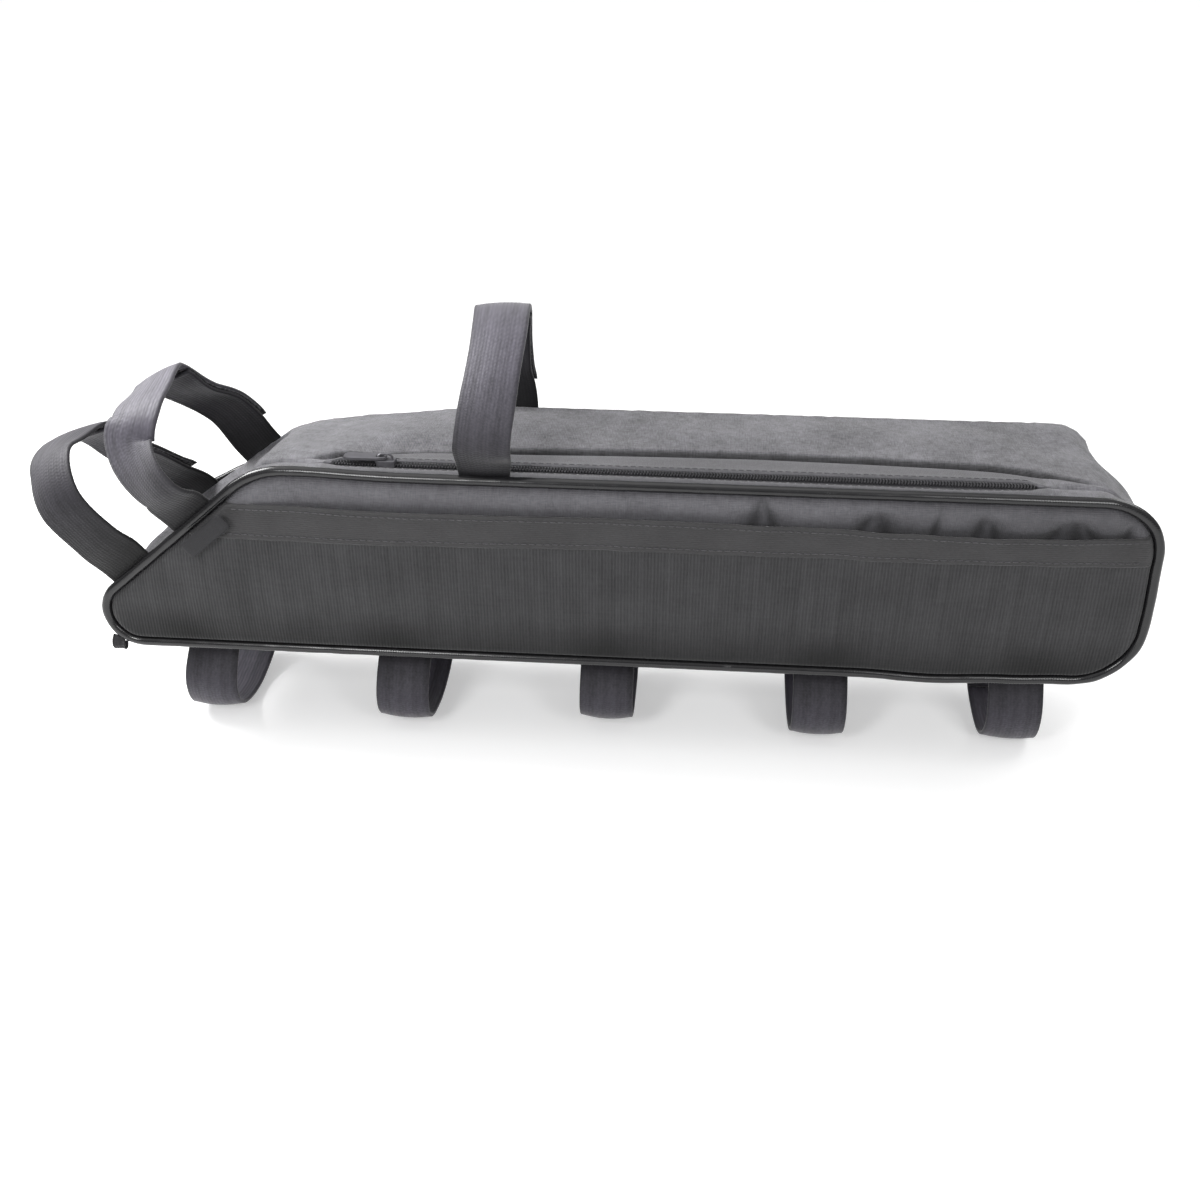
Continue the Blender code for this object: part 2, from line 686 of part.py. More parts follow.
def webbing(name, path, frame, origin=(0, 0), thickness=STRAP_CLOTH, finish=None):
    across = Vector((WEBBING, 0, 0))
    return ribbon(name, in_strap_plane(path, origin), across, thickness,
                  finish or WEBBING_CLOTH, frame)


def front_half(path):
    """The strap from its seam to the middle of the loop, less half a gap."""
    half = cut_path(path, 0, LOOP_MIDDLE)
    half[-1] += (half[-2] - half[-1]).normalized() * GAP / 2
    return half


def make_tail(name, path, tail_end, patch_end, frame):
    """The strap's free end, which peels up from mid loop with its hook patch."""
    tail = cut_path(path, LOOP_MIDDLE, tail_end)
    pivot = (tail[0].x, tail[0].y + STRAP_CLOTH / 2 + PEEL_RISE)
    peel = empty(name + "_peel", (0, *pivot), parent=frame)
    tail[0] += (tail[1] - tail[0]).normalized() * GAP / 2
    webbing(name + "_tail", tail, peel, pivot)
    patch = offset_path(path, -(STRAP_CLOTH + PATCH_CLOTH) / 2 - GAP)
    patch = cut_path(patch, TAB_START, patch_end)
    webbing(name + "_hook_patch", patch, peel, pivot, PATCH_CLOTH, HOOK)


def make_arch_strap(name, centre, turn_y, places):
    """A strap sewn in at the front, and the short tab at the back that it closes on."""
    frame = empty(name + "_frame", centre, turn_y)
    path = arch_path(places)
    webbing(name, front_half(path), frame)
    make_tail(name, path, ARCH_TAIL_END, ARCH_PATCH_END, frame)
    tab = offset_path(path, -layer_step())
    webbing(name + "_tab", cut_path(tab, TAB_START, 1), frame)


def make_drop_strap(name, centre, path):
    """One strap sewn on at its middle, its short end inside and its long end outside."""
    frame = empty(name + "_frame", centre, math.pi)
    tab = cut_path(offset_path(path, -layer_step()), TAB_START, DROP_TAB_END)
    seat = [Vector((SEAT_HALF, path[0].y)), Vector((-SEAT_HALF + GAP, path[0].y))]
    webbing(name, tab + seat + front_half(path), frame)
    make_tail(name, path, DROP_TAIL_END, DROP_PATCH_END, frame)


def slope_place(run):
    """A place on the slope's cloth, at a run up from the nose corner."""
    normal = Vector((-math.sin(SLOPE), math.cos(SLOPE)))
    along = Vector((math.cos(SLOPE), math.sin(SLOPE)))
    place = nose_centre() + normal * (NOSE_RADIUS - GUSSET_INSET) + along * run
    return (place.x, 0, place.y)


def make_straps():
    make_arch_strap("top_strap", (TOP_STRAP_X, 0, TOP_Z - GUSSET_INSET), 0, TOP_LOOP)
    for label, places in NOSE_LOOPS.items():
        centre = slope_place(NOSE_STRAP_RUNS[label])
        make_arch_strap("nose_strap_" + label, centre, -SLOPE, places)
    shapes = zip(BOTTOM_STRAP_X, BOTTOM_STRAP_FRONT, BOTTOM_STRAP_REAR, BOTTOM_STRAP_LEAN)
    for number, (x, front, rear, lean) in enumerate(shapes, 1):
        path = drop_path(front, rear, lean, BOTTOM_STRAP_DROP)
        make_drop_strap(f"bottom_strap_{number}", (x, 0, BOTTOM_Z + GUSSET_INSET), path)


def build():
    slots = make_zip_slots()
    make_sides()
    make_gusset(slots)
    make_lining()
    make_top_edges()
    skin = TOP_Z - GUSSET_INSET
    flap_hinge = empty("flap_hinge", (0, FLAP_BACK_Y + GAP, skin))
    flap = empty("flap_frame", (0, -FLAP_BACK_Y - GAP, -skin), parent=flap_hinge)
    make_zip_chain(flap)
    make_flap(flap)
    slide = empty("slider_frame", (SLIDER_X, SLIT_Y, skin - COIL_TOP_DROP + GAP))
    make_slider(slide)
    pivot = empty("tab_pivot", (0, 0, SLIDER_PLATE + PIVOT_RISE), parent=slide)
    make_tab(pivot)
    make_pocket()
    make_tag()
    make_straps()


for old in list(bpy.data.objects):
    bpy.data.objects.remove(old)
PARTS = new_collection("frame_bag")
CUTTERS = new_collection("cutters")
BODY_CLOTH = make_material("body cloth", (0.105, 0.105, 0.115), 0.62)
POCKET_MESH = make_material("ribbed pocket cloth", (0.062, 0.062, 0.068), 0.8)
HEM_TAPE = make_material("hem tape", (0.075, 0.073, 0.08), 0.7)
PIPING_CLOTH = make_material("piping", (0.06, 0.06, 0.065), 0.38)
ZIP_GUARD = make_material("zip guard cloth", (0.085, 0.085, 0.09), 0.65)
ZIP_NYLON = make_material("zip nylon", (0.03, 0.03, 0.033), 0.5)
DARK_METAL = make_material("dark metal", (0.045, 0.045, 0.05), 0.35, 0.9)
FOAM = make_material("foam", (0.045, 0.045, 0.048), 0.9)
LINING_CLOTH = make_material("lining", (0.05, 0.05, 0.055), 0.6)
WEBBING_CLOTH = make_material("webbing", (0.085, 0.08, 0.1), 0.75)
HOOK = make_material("hook tape", (0.03, 0.03, 0.034), 0.85)
TAG_SATIN = make_material("plain tag", (0.05, 0.05, 0.052), 0.5)
build()
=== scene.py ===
"""Looks of the soft bike frame bag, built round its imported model.

Lengths in this script are millimetres, and are turned into metres where a mesh
is made.  Materials, lamps and the camera are in metres.  +X runs from the sloped
nose to the tail, and -Y is the pocket side.
"""

import math

import bpy
import numpy as np
from mathutils import Matrix, Vector
from mathutils.geometry import delaunay_2d_cdt


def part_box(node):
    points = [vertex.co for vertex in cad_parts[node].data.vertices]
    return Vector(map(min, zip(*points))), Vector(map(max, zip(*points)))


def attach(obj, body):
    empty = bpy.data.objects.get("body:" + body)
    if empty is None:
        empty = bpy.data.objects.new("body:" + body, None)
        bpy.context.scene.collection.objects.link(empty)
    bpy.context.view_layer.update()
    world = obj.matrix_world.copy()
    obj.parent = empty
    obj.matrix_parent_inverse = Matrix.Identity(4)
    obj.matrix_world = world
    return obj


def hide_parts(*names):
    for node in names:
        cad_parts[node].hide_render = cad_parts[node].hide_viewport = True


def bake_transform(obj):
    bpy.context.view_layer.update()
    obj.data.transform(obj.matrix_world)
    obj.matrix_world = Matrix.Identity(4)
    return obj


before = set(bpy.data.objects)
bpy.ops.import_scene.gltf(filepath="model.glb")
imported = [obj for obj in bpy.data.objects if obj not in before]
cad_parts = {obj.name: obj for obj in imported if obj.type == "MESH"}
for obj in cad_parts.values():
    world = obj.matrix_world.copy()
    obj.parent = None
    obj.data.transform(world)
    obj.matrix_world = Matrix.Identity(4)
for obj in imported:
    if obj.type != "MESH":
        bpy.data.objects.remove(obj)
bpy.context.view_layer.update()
MM = 0.001

# Camera solved from the photograph
CAMERA_PLACE = (0.08415, -0.53584, 0.30952)
CAMERA_PITCH = math.radians(29.42)
CAMERA_YAW = math.radians(-4.45)
CAMERA_ROLL = math.radians(0.18)
CAMERA_LENS = 38.74

# Outline over the piping, as in the part
NOSE_X, TAIL_X, BOTTOM_Z, TOP_Z = -182.0, 280.0, -2.5, 88.5
NOSE_RADIUS, APEX_RADIUS, TAIL_RADIUS = 17.7, 40.0, 28.0
SLOPE = math.radians(40)
SKIN_INSET = 2.5
SKIN_Z = TOP_Z - SKIN_INSET

# Zip and flap
SLIT_Y = -27.0
ZIP_LEFT, ZIP_RIGHT = -72.0, 228.0
FLAP_LEFT, FLAP_RIGHT = -39.0, 199.0
HINGE_Y = 37.3
SPLIT_X = 80.0
CLOTH_LEFT, CLOTH_RIGHT = -76.0, 232.0
LEFT_RAMP = (-44.0, 16.0)
RIGHT_RAMP = (204.0, 144.0)

# Straps
WEBBING = 25.0
STRAP_CLOTH, PATCH_CLOTH, GAP = 1.6, 0.8, 0.3
TOP_STRAP_X = -1.0
NOSE_RUNS = {"lower": 15.8, "upper": 57.5}
BOTTOM_X = [-141.0, -48.0, 48.0, 147.0, 236.5]
BOTTOM_FRONT = [34, 38, 35, 36, 29]
BOTTOM_REAR = [36, 36, 34, 30, 25]
BOTTOM_LEAN = [-8, -8, 4, -8, -10]
BOTTOM_EASE = [0.8, 0, 0, 0, -1]
BOTTOM_DROP = [50, 50, 48.5, 50, 50]
SEAT_HALF = 10.5
FOOT_Y, FOOT_RISE = 40.2, 11
TAB_START = 0.63
ARCH_END, ARCH_PATCH_END, ARCH_BEND = 0.93, 0.91, 11
DROP_END, DROP_PATCH_END, DROP_TAB_END, DROP_BEND = 0.86, 0.84, 0.96, 6
STRAP_CURL = 1.3
LAYER = STRAP_CLOTH + PATCH_CLOTH + 2 * GAP

# Loops' places over the bag: across it, height, move sideways and twist in degrees
TOP_LOOP = [(-51, 18, -2, -10), (-44, 38, 0.5, -14), (-26, 54.5, 2.2, -15), (-3.5, 61, 1.2, -10),
            (18.5, 57, -0.8, 0), (36, 44.5, -2.5, 11), (44, 23, -2.2, 18)]
NOSE_LOOPS = {
    "lower": [(-46.1, 20.4, -2.7, -5.7), (-46.1, 41.8, -2.1, -4.5), (-33.2, 56.6, -0.5, 3.6),
              (-14.8, 61.7, -1.3, 18.3), (16.3, 57.7, -1.7, 20.6), (27.1, 40.9, -2.6, 22.7),
              (34.4, 21.4, -0.4, 12.6)],
    "upper": [(-49.4, 18.6, -2.5, -20), (-37, 40.4, -4, 2.2), (-28, 49.5, 6, 20), (-2.6, 54.4, 8.2, 13),
              (12.2, 52.8, 6.8, 13.5), (29.2, 37.2, 5.3, 22.5), (38.2, 20.2, 6.5, 12)],
}


# Numbers

def smooth(value, low, high):
    """0 up to one value, 1 from the other on, and a soft climb between them."""
    t = np.clip((np.asarray(value, float) - low) / (high - low), 0, 1)
    return t * t * (3 - 2 * t)


def within(value, start, full, fade, end):
    """1 between two soft edges, 0 outside them."""
    return smooth(value, start, full) * (1 - smooth(value, fade, end))


def bump(value, centre, width):
    """1 at a centre, falling off on both sides like a bell."""
    return np.exp(-((np.asarray(value, float) - centre) / width) ** 2)


def waves(u, v, seed, wavelength, direction=0.0, spread=0.5, count=9):
    """Soft wrinkles about one wavelength apart, crests across the direction."""
    rng = np.random.default_rng(seed)
    total = 0.0
    for _ in range(count):
        angle = rng.normal(direction, spread)
        k = 2 * math.pi / (wavelength * rng.uniform(0.7, 1.6))
        phase = rng.uniform(0, 2 * math.pi)
        total = total + np.sin(k * (u * math.cos(angle) + v * math.sin(angle)) + phase)
    return total / math.sqrt(count)


NOSE_CENTRE = np.array([NOSE_X + NOSE_RADIUS, BOTTOM_Z + NOSE_RADIUS])


def outline_samples(step):
    """Outline points with outward normals and run, clockwise from under the bag."""
    nose = NOSE_CENTRE
    rise = TOP_Z - APEX_RADIUS - nose[1]
    run = (rise * math.cos(SLOPE) + APEX_RADIUS - NOSE_RADIUS) / math.sin(SLOPE)
    apex = np.array([nose[0] + run, TOP_Z - APEX_RADIUS])
    high = np.array([TAIL_X - TAIL_RADIUS, TOP_Z - TAIL_RADIUS])
    low = np.array([TAIL_X - TAIL_RADIUS, BOTTOM_Z + TAIL_RADIUS])
    points, normals = [], []

    def line(start, end, normal):
        count = max(2, round(np.linalg.norm(np.subtract(end, start)) / step) + 1)
        for t in np.linspace(0, 1, count)[:-1]:
            points.append(np.add(start, np.subtract(end, start) * t))
            normals.append(normal)

    def arc(centre, radius, start, end):
        count = max(3, round(abs(end - start) * radius / min(step, 2.5)) + 1)
        for a in np.linspace(start, end, count)[:-1]:
            normal = np.array([math.cos(a), math.sin(a)])
            points.append(centre + normal * radius)
            normals.append(normal)

    up, right, down = (0, 1), (1, 0), (0, -1)
    stops = [apex[0], CLOTH_LEFT, SPLIT_X, CLOTH_RIGHT, high[0]]
    for a, b in zip(stops, stops[1:]):
        line((a, TOP_Z), (b, TOP_Z), up)
    arc(high, TAIL_RADIUS, math.pi / 2, 0)
    line((TAIL_X, high[1]), (TAIL_X, low[1]), right)
    arc(low, TAIL_RADIUS, 0, -math.pi / 2)
    line((low[0], BOTTOM_Z), (nose[0], BOTTOM_Z), down)
    side = math.pi / 2 + SLOPE
    arc(nose, NOSE_RADIUS, math.pi * 1.5, side)
    normal = np.array([math.cos(side), math.sin(side)])
    line(nose + normal * NOSE_RADIUS, apex + normal * APEX_RADIUS, tuple(normal))
    arc(apex, APEX_RADIUS, side, math.pi / 2)
    points, normals = np.array(points), np.array(normals)
    start = np.argmin(np.abs(points[:, 0] - 100) + 1000 * (normals[:, 1] > -0.99))
    points, normals = np.roll(points, -start, 0), np.roll(normals, -start, 0)
    steps = np.linalg.norm(np.roll(points, -1, 0) - points, axis=1)
    return points, normals, np.concatenate([[0], np.cumsum(steps)[:-1]])


RING, RING_NORMAL, RING_RUN = outline_samples(3.2)
FINE_RING = outline_samples(0.8)[0]


def inset_of(x, z):
    """Distance inwards from the outline."""
    x, z = np.broadcast_arrays(np.asarray(x, float), np.asarray(z, float))
    flat = np.stack([x.ravel(), z.ravel()], 1)
    found = np.empty(len(flat))
    for i in range(0, len(flat), 2000):
        part = flat[i:i + 2000]
        found[i:i + 2000] = np.sqrt(((part[:, None] - FINE_RING[None]) ** 2).sum(2)).min(1)
    return found.reshape(x.shape)


def height_span(x, inset):
    """Lowest and highest z of the outline at an inset, at each x."""
    points = RING - RING_NORMAL * inset
    upper = points[RING_NORMAL[:, 1] > -1e-6]
    lower = points[RING_NORMAL[:, 1] < 1e-6]
    upper = upper[np.argsort(upper[:, 0], kind="stable")]
    lower = lower[np.argsort(lower[:, 0], kind="stable")]
    return np.interp(x, *lower.T), np.interp(x, *upper.T)


def run_span(z, inset):
    """Least and greatest x of the outline at an inset, at each height."""
    points = RING - RING_NORMAL * inset
    left = points[(RING_NORMAL[:, 0] < 1e-6) & (points[:, 0] < 0)]
    right = points[(RING_NORMAL[:, 0] > -1e-6) & (points[:, 0] > 100)]
    left = left[np.argsort(left[:, 1], kind="stable")]
    right = right[np.argsort(right[:, 1], kind="stable")]
    return np.interp(z, left[:, 1], left[:, 0]), np.interp(z, right[:, 1], right[:, 0])


# How far the far shoulder sags along the bag, and how far other parts give
DROP_X = [-175, -150, -118, -103, -93, -83, -73, -53, -33, -10, 15]
DROP_BY = [0, 3.5, 9, 11.2, 10.6, 9.2, 7.2, 5.2, 2.5, 0, 0]
PIPING_TUCK, BELLY, TAIL_SWELL, TAIL_LEAN, NOSE_LIFT = 3.2, 1.3, 1.5, 8, 1.5


def back_tuck(normal_z, x):
    """How far the far side's piping is drawn in below the padded top."""
    return PIPING_TUCK * (smooth(normal_z, -0.6, 0.6) * smooth(x, -165, -120))


def slouch(points):
    """The soft bag's own sag: its far shoulders drop, its bottom bellies and its tail fills out."""
    points = np.array(points, float)
    x, y, z = points[..., 0], points[..., 1], points[..., 2]
    across = np.clip((y + 20) / 65, 0, 1.05) ** 1.3
    drop = np.interp(x, DROP_X, DROP_BY) * across * within(z, 15, 60, 100, 165)
    span = np.clip((x - 160) / 64, 0, 1)
    belly = BELLY * np.sin(math.pi * span) ** 2 * (1 - smooth(z, 2, 45))
    tail = smooth(x, 225, 280)
    near, far = 1 - smooth(y, -25, 30), smooth(y, -5, 40)
    swell = TAIL_SWELL * bump(z, 34, 24) + bump(z, 76, 10)
    lean = TAIL_LEAN * smooth(z, -25, 62) - 2.5 * smooth(z, 70, 86)
    points[..., 0] = x + tail * (near * swell - far * lean)
    front = 1 - smooth(y, -44, -34)
    lift = NOSE_LIFT * bump(x, -84, 26) * front * smooth(z, 55, 82)
    lift = lift + smooth(x, 226, 250) * (1 - smooth(z, 8, 30))
    points[..., 2] = z - drop - belly - 0.2 * tail * far * smooth(z, 60, 88) + lift
    return points


# Meshes

def add_mesh(name, points, faces, material, uv=None, normals=None, dark=None):
    """A smooth mesh from millimetre points; uv is in metres, dark is how much painted shade darkens a point
    in a seam.
    """
    mesh = bpy.data.meshes.new(name)
    mesh.from_pydata((np.asarray(points).reshape(-1, 3) * MM).tolist(), [], faces)
    mesh.polygons.foreach_set("use_smooth", [True] * len(mesh.polygons))
    if uv is not None:
        layer = mesh.uv_layers.new(name="cloth")
        index = np.empty(len(mesh.loops), int)
        mesh.loops.foreach_get("vertex_index", index)
        layer.data.foreach_set("uv", np.asarray(uv, np.float32).reshape(-1, 2)[index].ravel())
    if dark is not None:
        mesh.attributes.new("painted_seam_shade", "FLOAT", "POINT").data.foreach_set("value", np.ravel(dark))
    mesh.materials.append(material)
    mesh.update()
    if normals is not None:
        mesh.normals_split_custom_set_from_vertices(np.asarray(normals).reshape(-1, 3).tolist())
    obj = bpy.data.objects.new(name, mesh)
    bpy.context.scene.collection.objects.link(obj)
    return obj


def grid_faces(rows, columns, wrap=False, flip=False, keep=None):
    """Quads over a grid of points; keep says which quads to make."""
    faces = []
    for i in range(rows if wrap else rows - 1):
        j = (i + 1) % rows
        for k in range(columns - 1):
            if keep is not None and not keep[i, k]:
                continue
            face = (i * columns + k, j * columns + k, j * columns + k + 1, i * columns + k + 1)
            faces.append(face[::-1] if flip else face)
    return faces


def section_faces(rows, count):
    """Faces round a closed section along its rows, and both its ends."""
    faces = []
    for i in range(rows - 1):
        for k in range(count):
            m = (k + 1) % count
            faces.append((i * count + k, i * count + m, (i + 1) * count + m, (i + 1) * count + k))
    return faces + [tuple(range(count))[::-1], tuple(range((rows - 1) * count, rows * count))]


def used_only(faces, *arrays):
    """Drops the points that no face uses."""
    used = sorted({i for face in faces for i in face})
    new = {old: i for i, old in enumerate(used)}
    faces = [tuple(new[i] for i in face) for face in faces]
    return faces, *[None if a is None else a.reshape(-1, a.shape[-1])[used] for a in arrays]


def grid_normals(points, wrap):
    """Vertex normals of a grid of points."""
    if wrap:
        along = np.roll(points, -1, 0) - np.roll(points, 1, 0)
    else:
        along = np.gradient(points, axis=0)
    normals = np.cross(along, np.gradient(points, axis=1))
    return normals / np.maximum(np.linalg.norm(normals, axis=2, keepdims=True), 1e-9)


def run_lengths(path):
    """How far along a path each of its points lies."""
    steps = np.linalg.norm(np.diff(path, axis=0), axis=1)
    return np.concatenate([[0], np.cumsum(steps)])


def resample(path, step):
    """Points at about equal steps along a path, and their run."""
    run = run_lengths(path)
    at = np.linspace(0, run[-1], max(3, round(run[-1] / step) + 1))
    return np.stack([np.interp(at, run, path[:, k]) for k in range(path.shape[1])], 1), at


def sweep(name, path, side, section, material):
    """A closed section swept along a path in space; side is the section's first axis."""
    path = np.asarray(path, float)
    tangent = np.gradient(path, axis=0)
    tangent /= np.linalg.norm(tangent, axis=1, keepdims=True)
    side = np.broadcast_to(np.asarray(side, float), path.shape)
    side = side - (side * tangent).sum(1, keepdims=True) * tangent
    side = side / np.linalg.norm(side, axis=1, keepdims=True)
    up = np.cross(side, tangent)
    section = np.asarray(section, float)
    rings = path[:, None] + side[:, None] * section[None, :, :1] + up[:, None] * section[None, :, 1:2]
    uv = np.stack(np.broadcast_arrays(run_lengths(path)[:, None] * MM, section[None, :, 0] * MM), 2)
    return add_mesh(name, rings, section_faces(len(path), len(section)), material, uv)


def tube(name, path, radius, sides, material, closed_path=False):
    """A round tube; radius may change along the path."""
    path = np.asarray(path, float)
    if closed_path:
        tangent = np.roll(path, -1, 0) - np.roll(path, 1, 0)
    else:
        tangent = np.gradient(path, axis=0)
    tangent /= np.linalg.norm(tangent, axis=1, keepdims=True)
    first = np.cross(tangent, (0.03, 1, 0.02))
    first /= np.linalg.norm(first, axis=1, keepdims=True)
    second = np.cross(tangent, first)
    angle = np.linspace(0, 2 * math.pi, sides + 1)
    radius = np.broadcast_to(np.asarray(radius, float), (len(path),))
    rings = path[:, None] + radius[:, None, None] * (
        np.cos(angle)[None, :, None] * first[:, None] + np.sin(angle)[None, :, None] * second[:, None])
    run = run_lengths(path)
    uv = np.stack(np.broadcast_arrays(run[:, None], (angle * radius.mean())[None]), 2) * MM
    faces = [(a, d, c, b) for a, b, c, d in grid_faces(len(path), sides + 1, wrap=closed_path)]
    return add_mesh(name, rings, faces, material, uv)


# What a piece stands for and what it moves with

def declare(obj, slot, *nodes, body="shell"):
    """Takes a piece's material slot, which is not used, hides the model's parts for the nodes that it stands
    for, and hangs it on the body that carries it.

    A piece that lies between the shell and the flap gets no body here."""
    if nodes:
        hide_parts(*nodes)
    if body:
        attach(obj, body)


def bend_with_flap(obj, ramp):
    """Bakes a piece's place into its mesh; the ramp is not used."""
    ramp[0] * MM
    ramp[1] * MM
    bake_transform(obj)


# Materials

BLUE_GREY = (1.02, 1.0, 1.1)
WEBBING_TINT = ((1.02, 0.95, 1.22), (1.02, 0.95, 1.2))
POCKET_TINT = (1.0, 0.995, 1.045)
HEM_TINT = (1.02, 0.995, 1.04)
WHITE = (1, 1, 1)


class Wire:
    """A node's output that can be added, scaled and shaped."""

    def __init__(self, paint, socket):
        self.paint = paint
        self.socket = socket

    def math(self, operation, other=0.0):
        return self.paint.node("ShaderNodeMath", {0: self, 1: other}, operation=operation)

    def __add__(self, other):
        return self.math("ADD", other)

    def __sub__(self, other):
        return self.math("SUBTRACT", other)

    def __mul__(self, other):
        return self.math("MULTIPLY", other)

    def __rsub__(self, other):
        return self.paint.node("ShaderNodeMath", {0: other, 1: self}, operation="SUBTRACT")

    __radd__ = __add__
    __rmul__ = __mul__

    def sine(self):
        return self.math("SINE")

    def size(self):
        return self.math("ABSOLUTE")

    def between(self, low, high, start=0.0, end=1.0):
        return self.paint.node("ShaderNodeMapRange", {0: self, 1: low, 2: high, 3: start, 4: end},
                               interpolation_type="SMOOTHSTEP")

    def near(self, centre, width):
        """1 at a value, falling softly to 0 at a distance from it."""
        return (self - centre).size().between(0, width, 1, 0)


class Paint:
    """One material, and the only place where its nodes are made."""

    def __init__(self, name, roughness, specular=0.5, sheen=0.0, metallic=0.0):
        self.material = bpy.data.materials.new(name)
        self.material.use_nodes = True
        self.tree = self.material.node_tree
        self.shader = self.tree.nodes["Principled BSDF"]
        self.shader.inputs["Roughness"].default_value = roughness
        self.shader.inputs["Specular IOR Level"].default_value = specular
        self.shader.inputs["Metallic"].default_value = metallic
        self.shader.inputs["Sheen Weight"].default_value = sheen
        self.shader.inputs["Sheen Roughness"].default_value = 0.45

    def node(self, kind, inputs=None, output=0, **settings):
        made = self.tree.nodes.new(kind)
        for key, value in settings.items():
            setattr(made, key, value)
        for key, value in (inputs or {}).items():
            if isinstance(value, Wire):
                self.tree.links.new(value.socket, made.inputs[key])
            else:
                made.inputs[key].default_value = value
        return Wire(self, made.outputs[output])

    def place(self, uv=True):
        """The cloth's own two directions, in metres, or the place in the object."""
        coords = self.node("ShaderNodeTexCoord", output="UV" if uv else "Object")
        split = self.node("ShaderNodeSeparateXYZ", {0: coords}).socket.node
        return [Wire(self, s) for s in split.outputs]

    def point(self, x, y, z=0.0):
        return self.node("ShaderNodeCombineXYZ", {0: x, 1: y, 2: z})

    def noise(self, where, scale, detail=2.0, roughness=0.5):
        return self.node("ShaderNodeTexNoise", {"Vector": where, "Scale": scale, "Detail": detail,
                                                "Roughness": roughness})

    def fibres(self, u, v, layer=0.0, detail=2.0, roughness=0.5):
        """Noise over two directions that are already scaled, each layer unlike the others."""
        return self.noise(self.point(u, v, layer), 1.0, detail, roughness)

    def colour(self, factor, stops, tint=BLUE_GREY, shade=None):
        """A tinted ramp as the base colour, times a shade; stops are (place, albedo).

        The tint is one for all stops, or one for each."""
        ramp = self.node("ShaderNodeValToRGB", {0: factor})
        elements = ramp.socket.node.color_ramp.elements
        while len(elements) < len(stops):
            elements.new(0.5)
        for element, (at, albedo), part in zip(elements, stops, np.broadcast_to(tint, (len(stops), 3))):
            element.position = at
            element.color = (*(albedo * part), 1)
        if shade is not None:
            ramp = self.node("ShaderNodeVectorMath", {0: ramp, "Scale": shade}, operation="SCALE")
        self.tree.links.new(ramp.socket, self.shader.inputs["Base Color"])

    def rough(self, factor, low, high):
        self.tree.links.new(factor.between(0, 1, low, high).socket, self.shader.inputs["Roughness"])

    def relief(self, height, distance, strength=1.0):
        bumped = self.node("ShaderNodeBump", {"Strength": strength, "Distance": distance, "Height": height},
                           output="Normal")
        self.tree.links.new(bumped.socket, self.shader.inputs["Normal"])


THREAD_PITCH, RIB_PITCH, CORD_PITCH = 0.0007, 0.0014, 0.0016
TURN = 2 * math.pi


def threads(u, v, pitch):
    """Plain weave relief, 0 to 1."""
    return ((u * (math.pi / pitch)).sine() * (v * (math.pi / pitch)).sine()).size().math("SQRT")


def ripple(along, pitch):
    """A wave of one pitch, 0 to 1."""
    return (along * (TURN / pitch)).sine() * 0.5 + 0.5


def seam_shade(paint):
    """Painted shade: darker down in the seams and beside the piping."""
    return 1 - paint.node("ShaderNodeAttribute", output="Fac", attribute_name="painted_seam_shade") * 0.8


def melange(name, dark, light, roughness, sheen=0.25, flecks=1.0, shading=None):
    """Two-tone woven polyester: short flecks along both threads."""
    paint = Paint(name, roughness, specular=0.35, sheen=sheen)
    u, v, _ = paint.place()
    weft = paint.fibres(u * 260.0, v * 1500.0, 0.0, 3.0, 0.6)
    warp = paint.fibres(u * 1500.0, v * 260.0, 7.0, 3.0, 0.6)
    cloud = paint.noise(paint.point(u + v * 0.6, v - u * 0.7, 0.071), 34.0, 3.0)
    crumple = paint.noise(paint.point(u - v * 0.5, v + u * 0.6, 0.034), 150.0, 2.0, 0.6)
    tone = (weft * 0.5 + warp * 0.5 - 0.5) * (1.6 * flecks) + 0.5
    tone = tone + ((cloud - 0.5) + (crumple - 0.5)) * (0.5 * flecks)
    weave = threads(u, v, THREAD_PITCH)
    tone = tone + (weave - 0.6) * 0.16
    # The colour is times painted shade: the given shading, or else the seams' painted shade
    paint.colour(tone, [(0.22, dark), (0.78, light)], shade=shading(u, v) if shading else seam_shade(paint))
    paint.rough(tone, roughness + 0.08, roughness - 0.06)
    paint.relief(weave + tone * 0.5 + crumple * 1.5, 0.00012)
    return paint.material


def mouth_shade(u, v):
    """Painted shade: darker in the folds where the pocket's mouth stands off the side, along the hem's top,
    and towards the tail end.
    """
    light = 1.0
    for x, half, top, lean in MOUTH_FOLDS:
        climb = (v - 0.070) * (1 / (top * MM))
        offset = (u - x * MM - climb * (lean * MM)).size() + climb.between(0, 1) * (half * 0.4 * MM)
        fold = offset.between(0, half * 1.1 * MM, 1, 0) * climb.between(0.5, 1.1, 1, 0)
        light = light * (1 - fold * 0.5)
    return light * v.between(0.069, 0.0745, 0.75, 1) * u.between(0.12, 0.25, 1, 0.72)


def pocket_shade(u, v):
    """Painted shade: darker towards the bottom seam, most of all where the straps leave it."""
    light = v.between(-0.002, 0.028, 0.25, 1)
    for x in BOTTOM_X:
        root_shade = u.near(x * MM, 0.025) * v.between(0.003, 0.024, 1, 0)
        light = light * (1 - root_shade * 0.75)
    return light


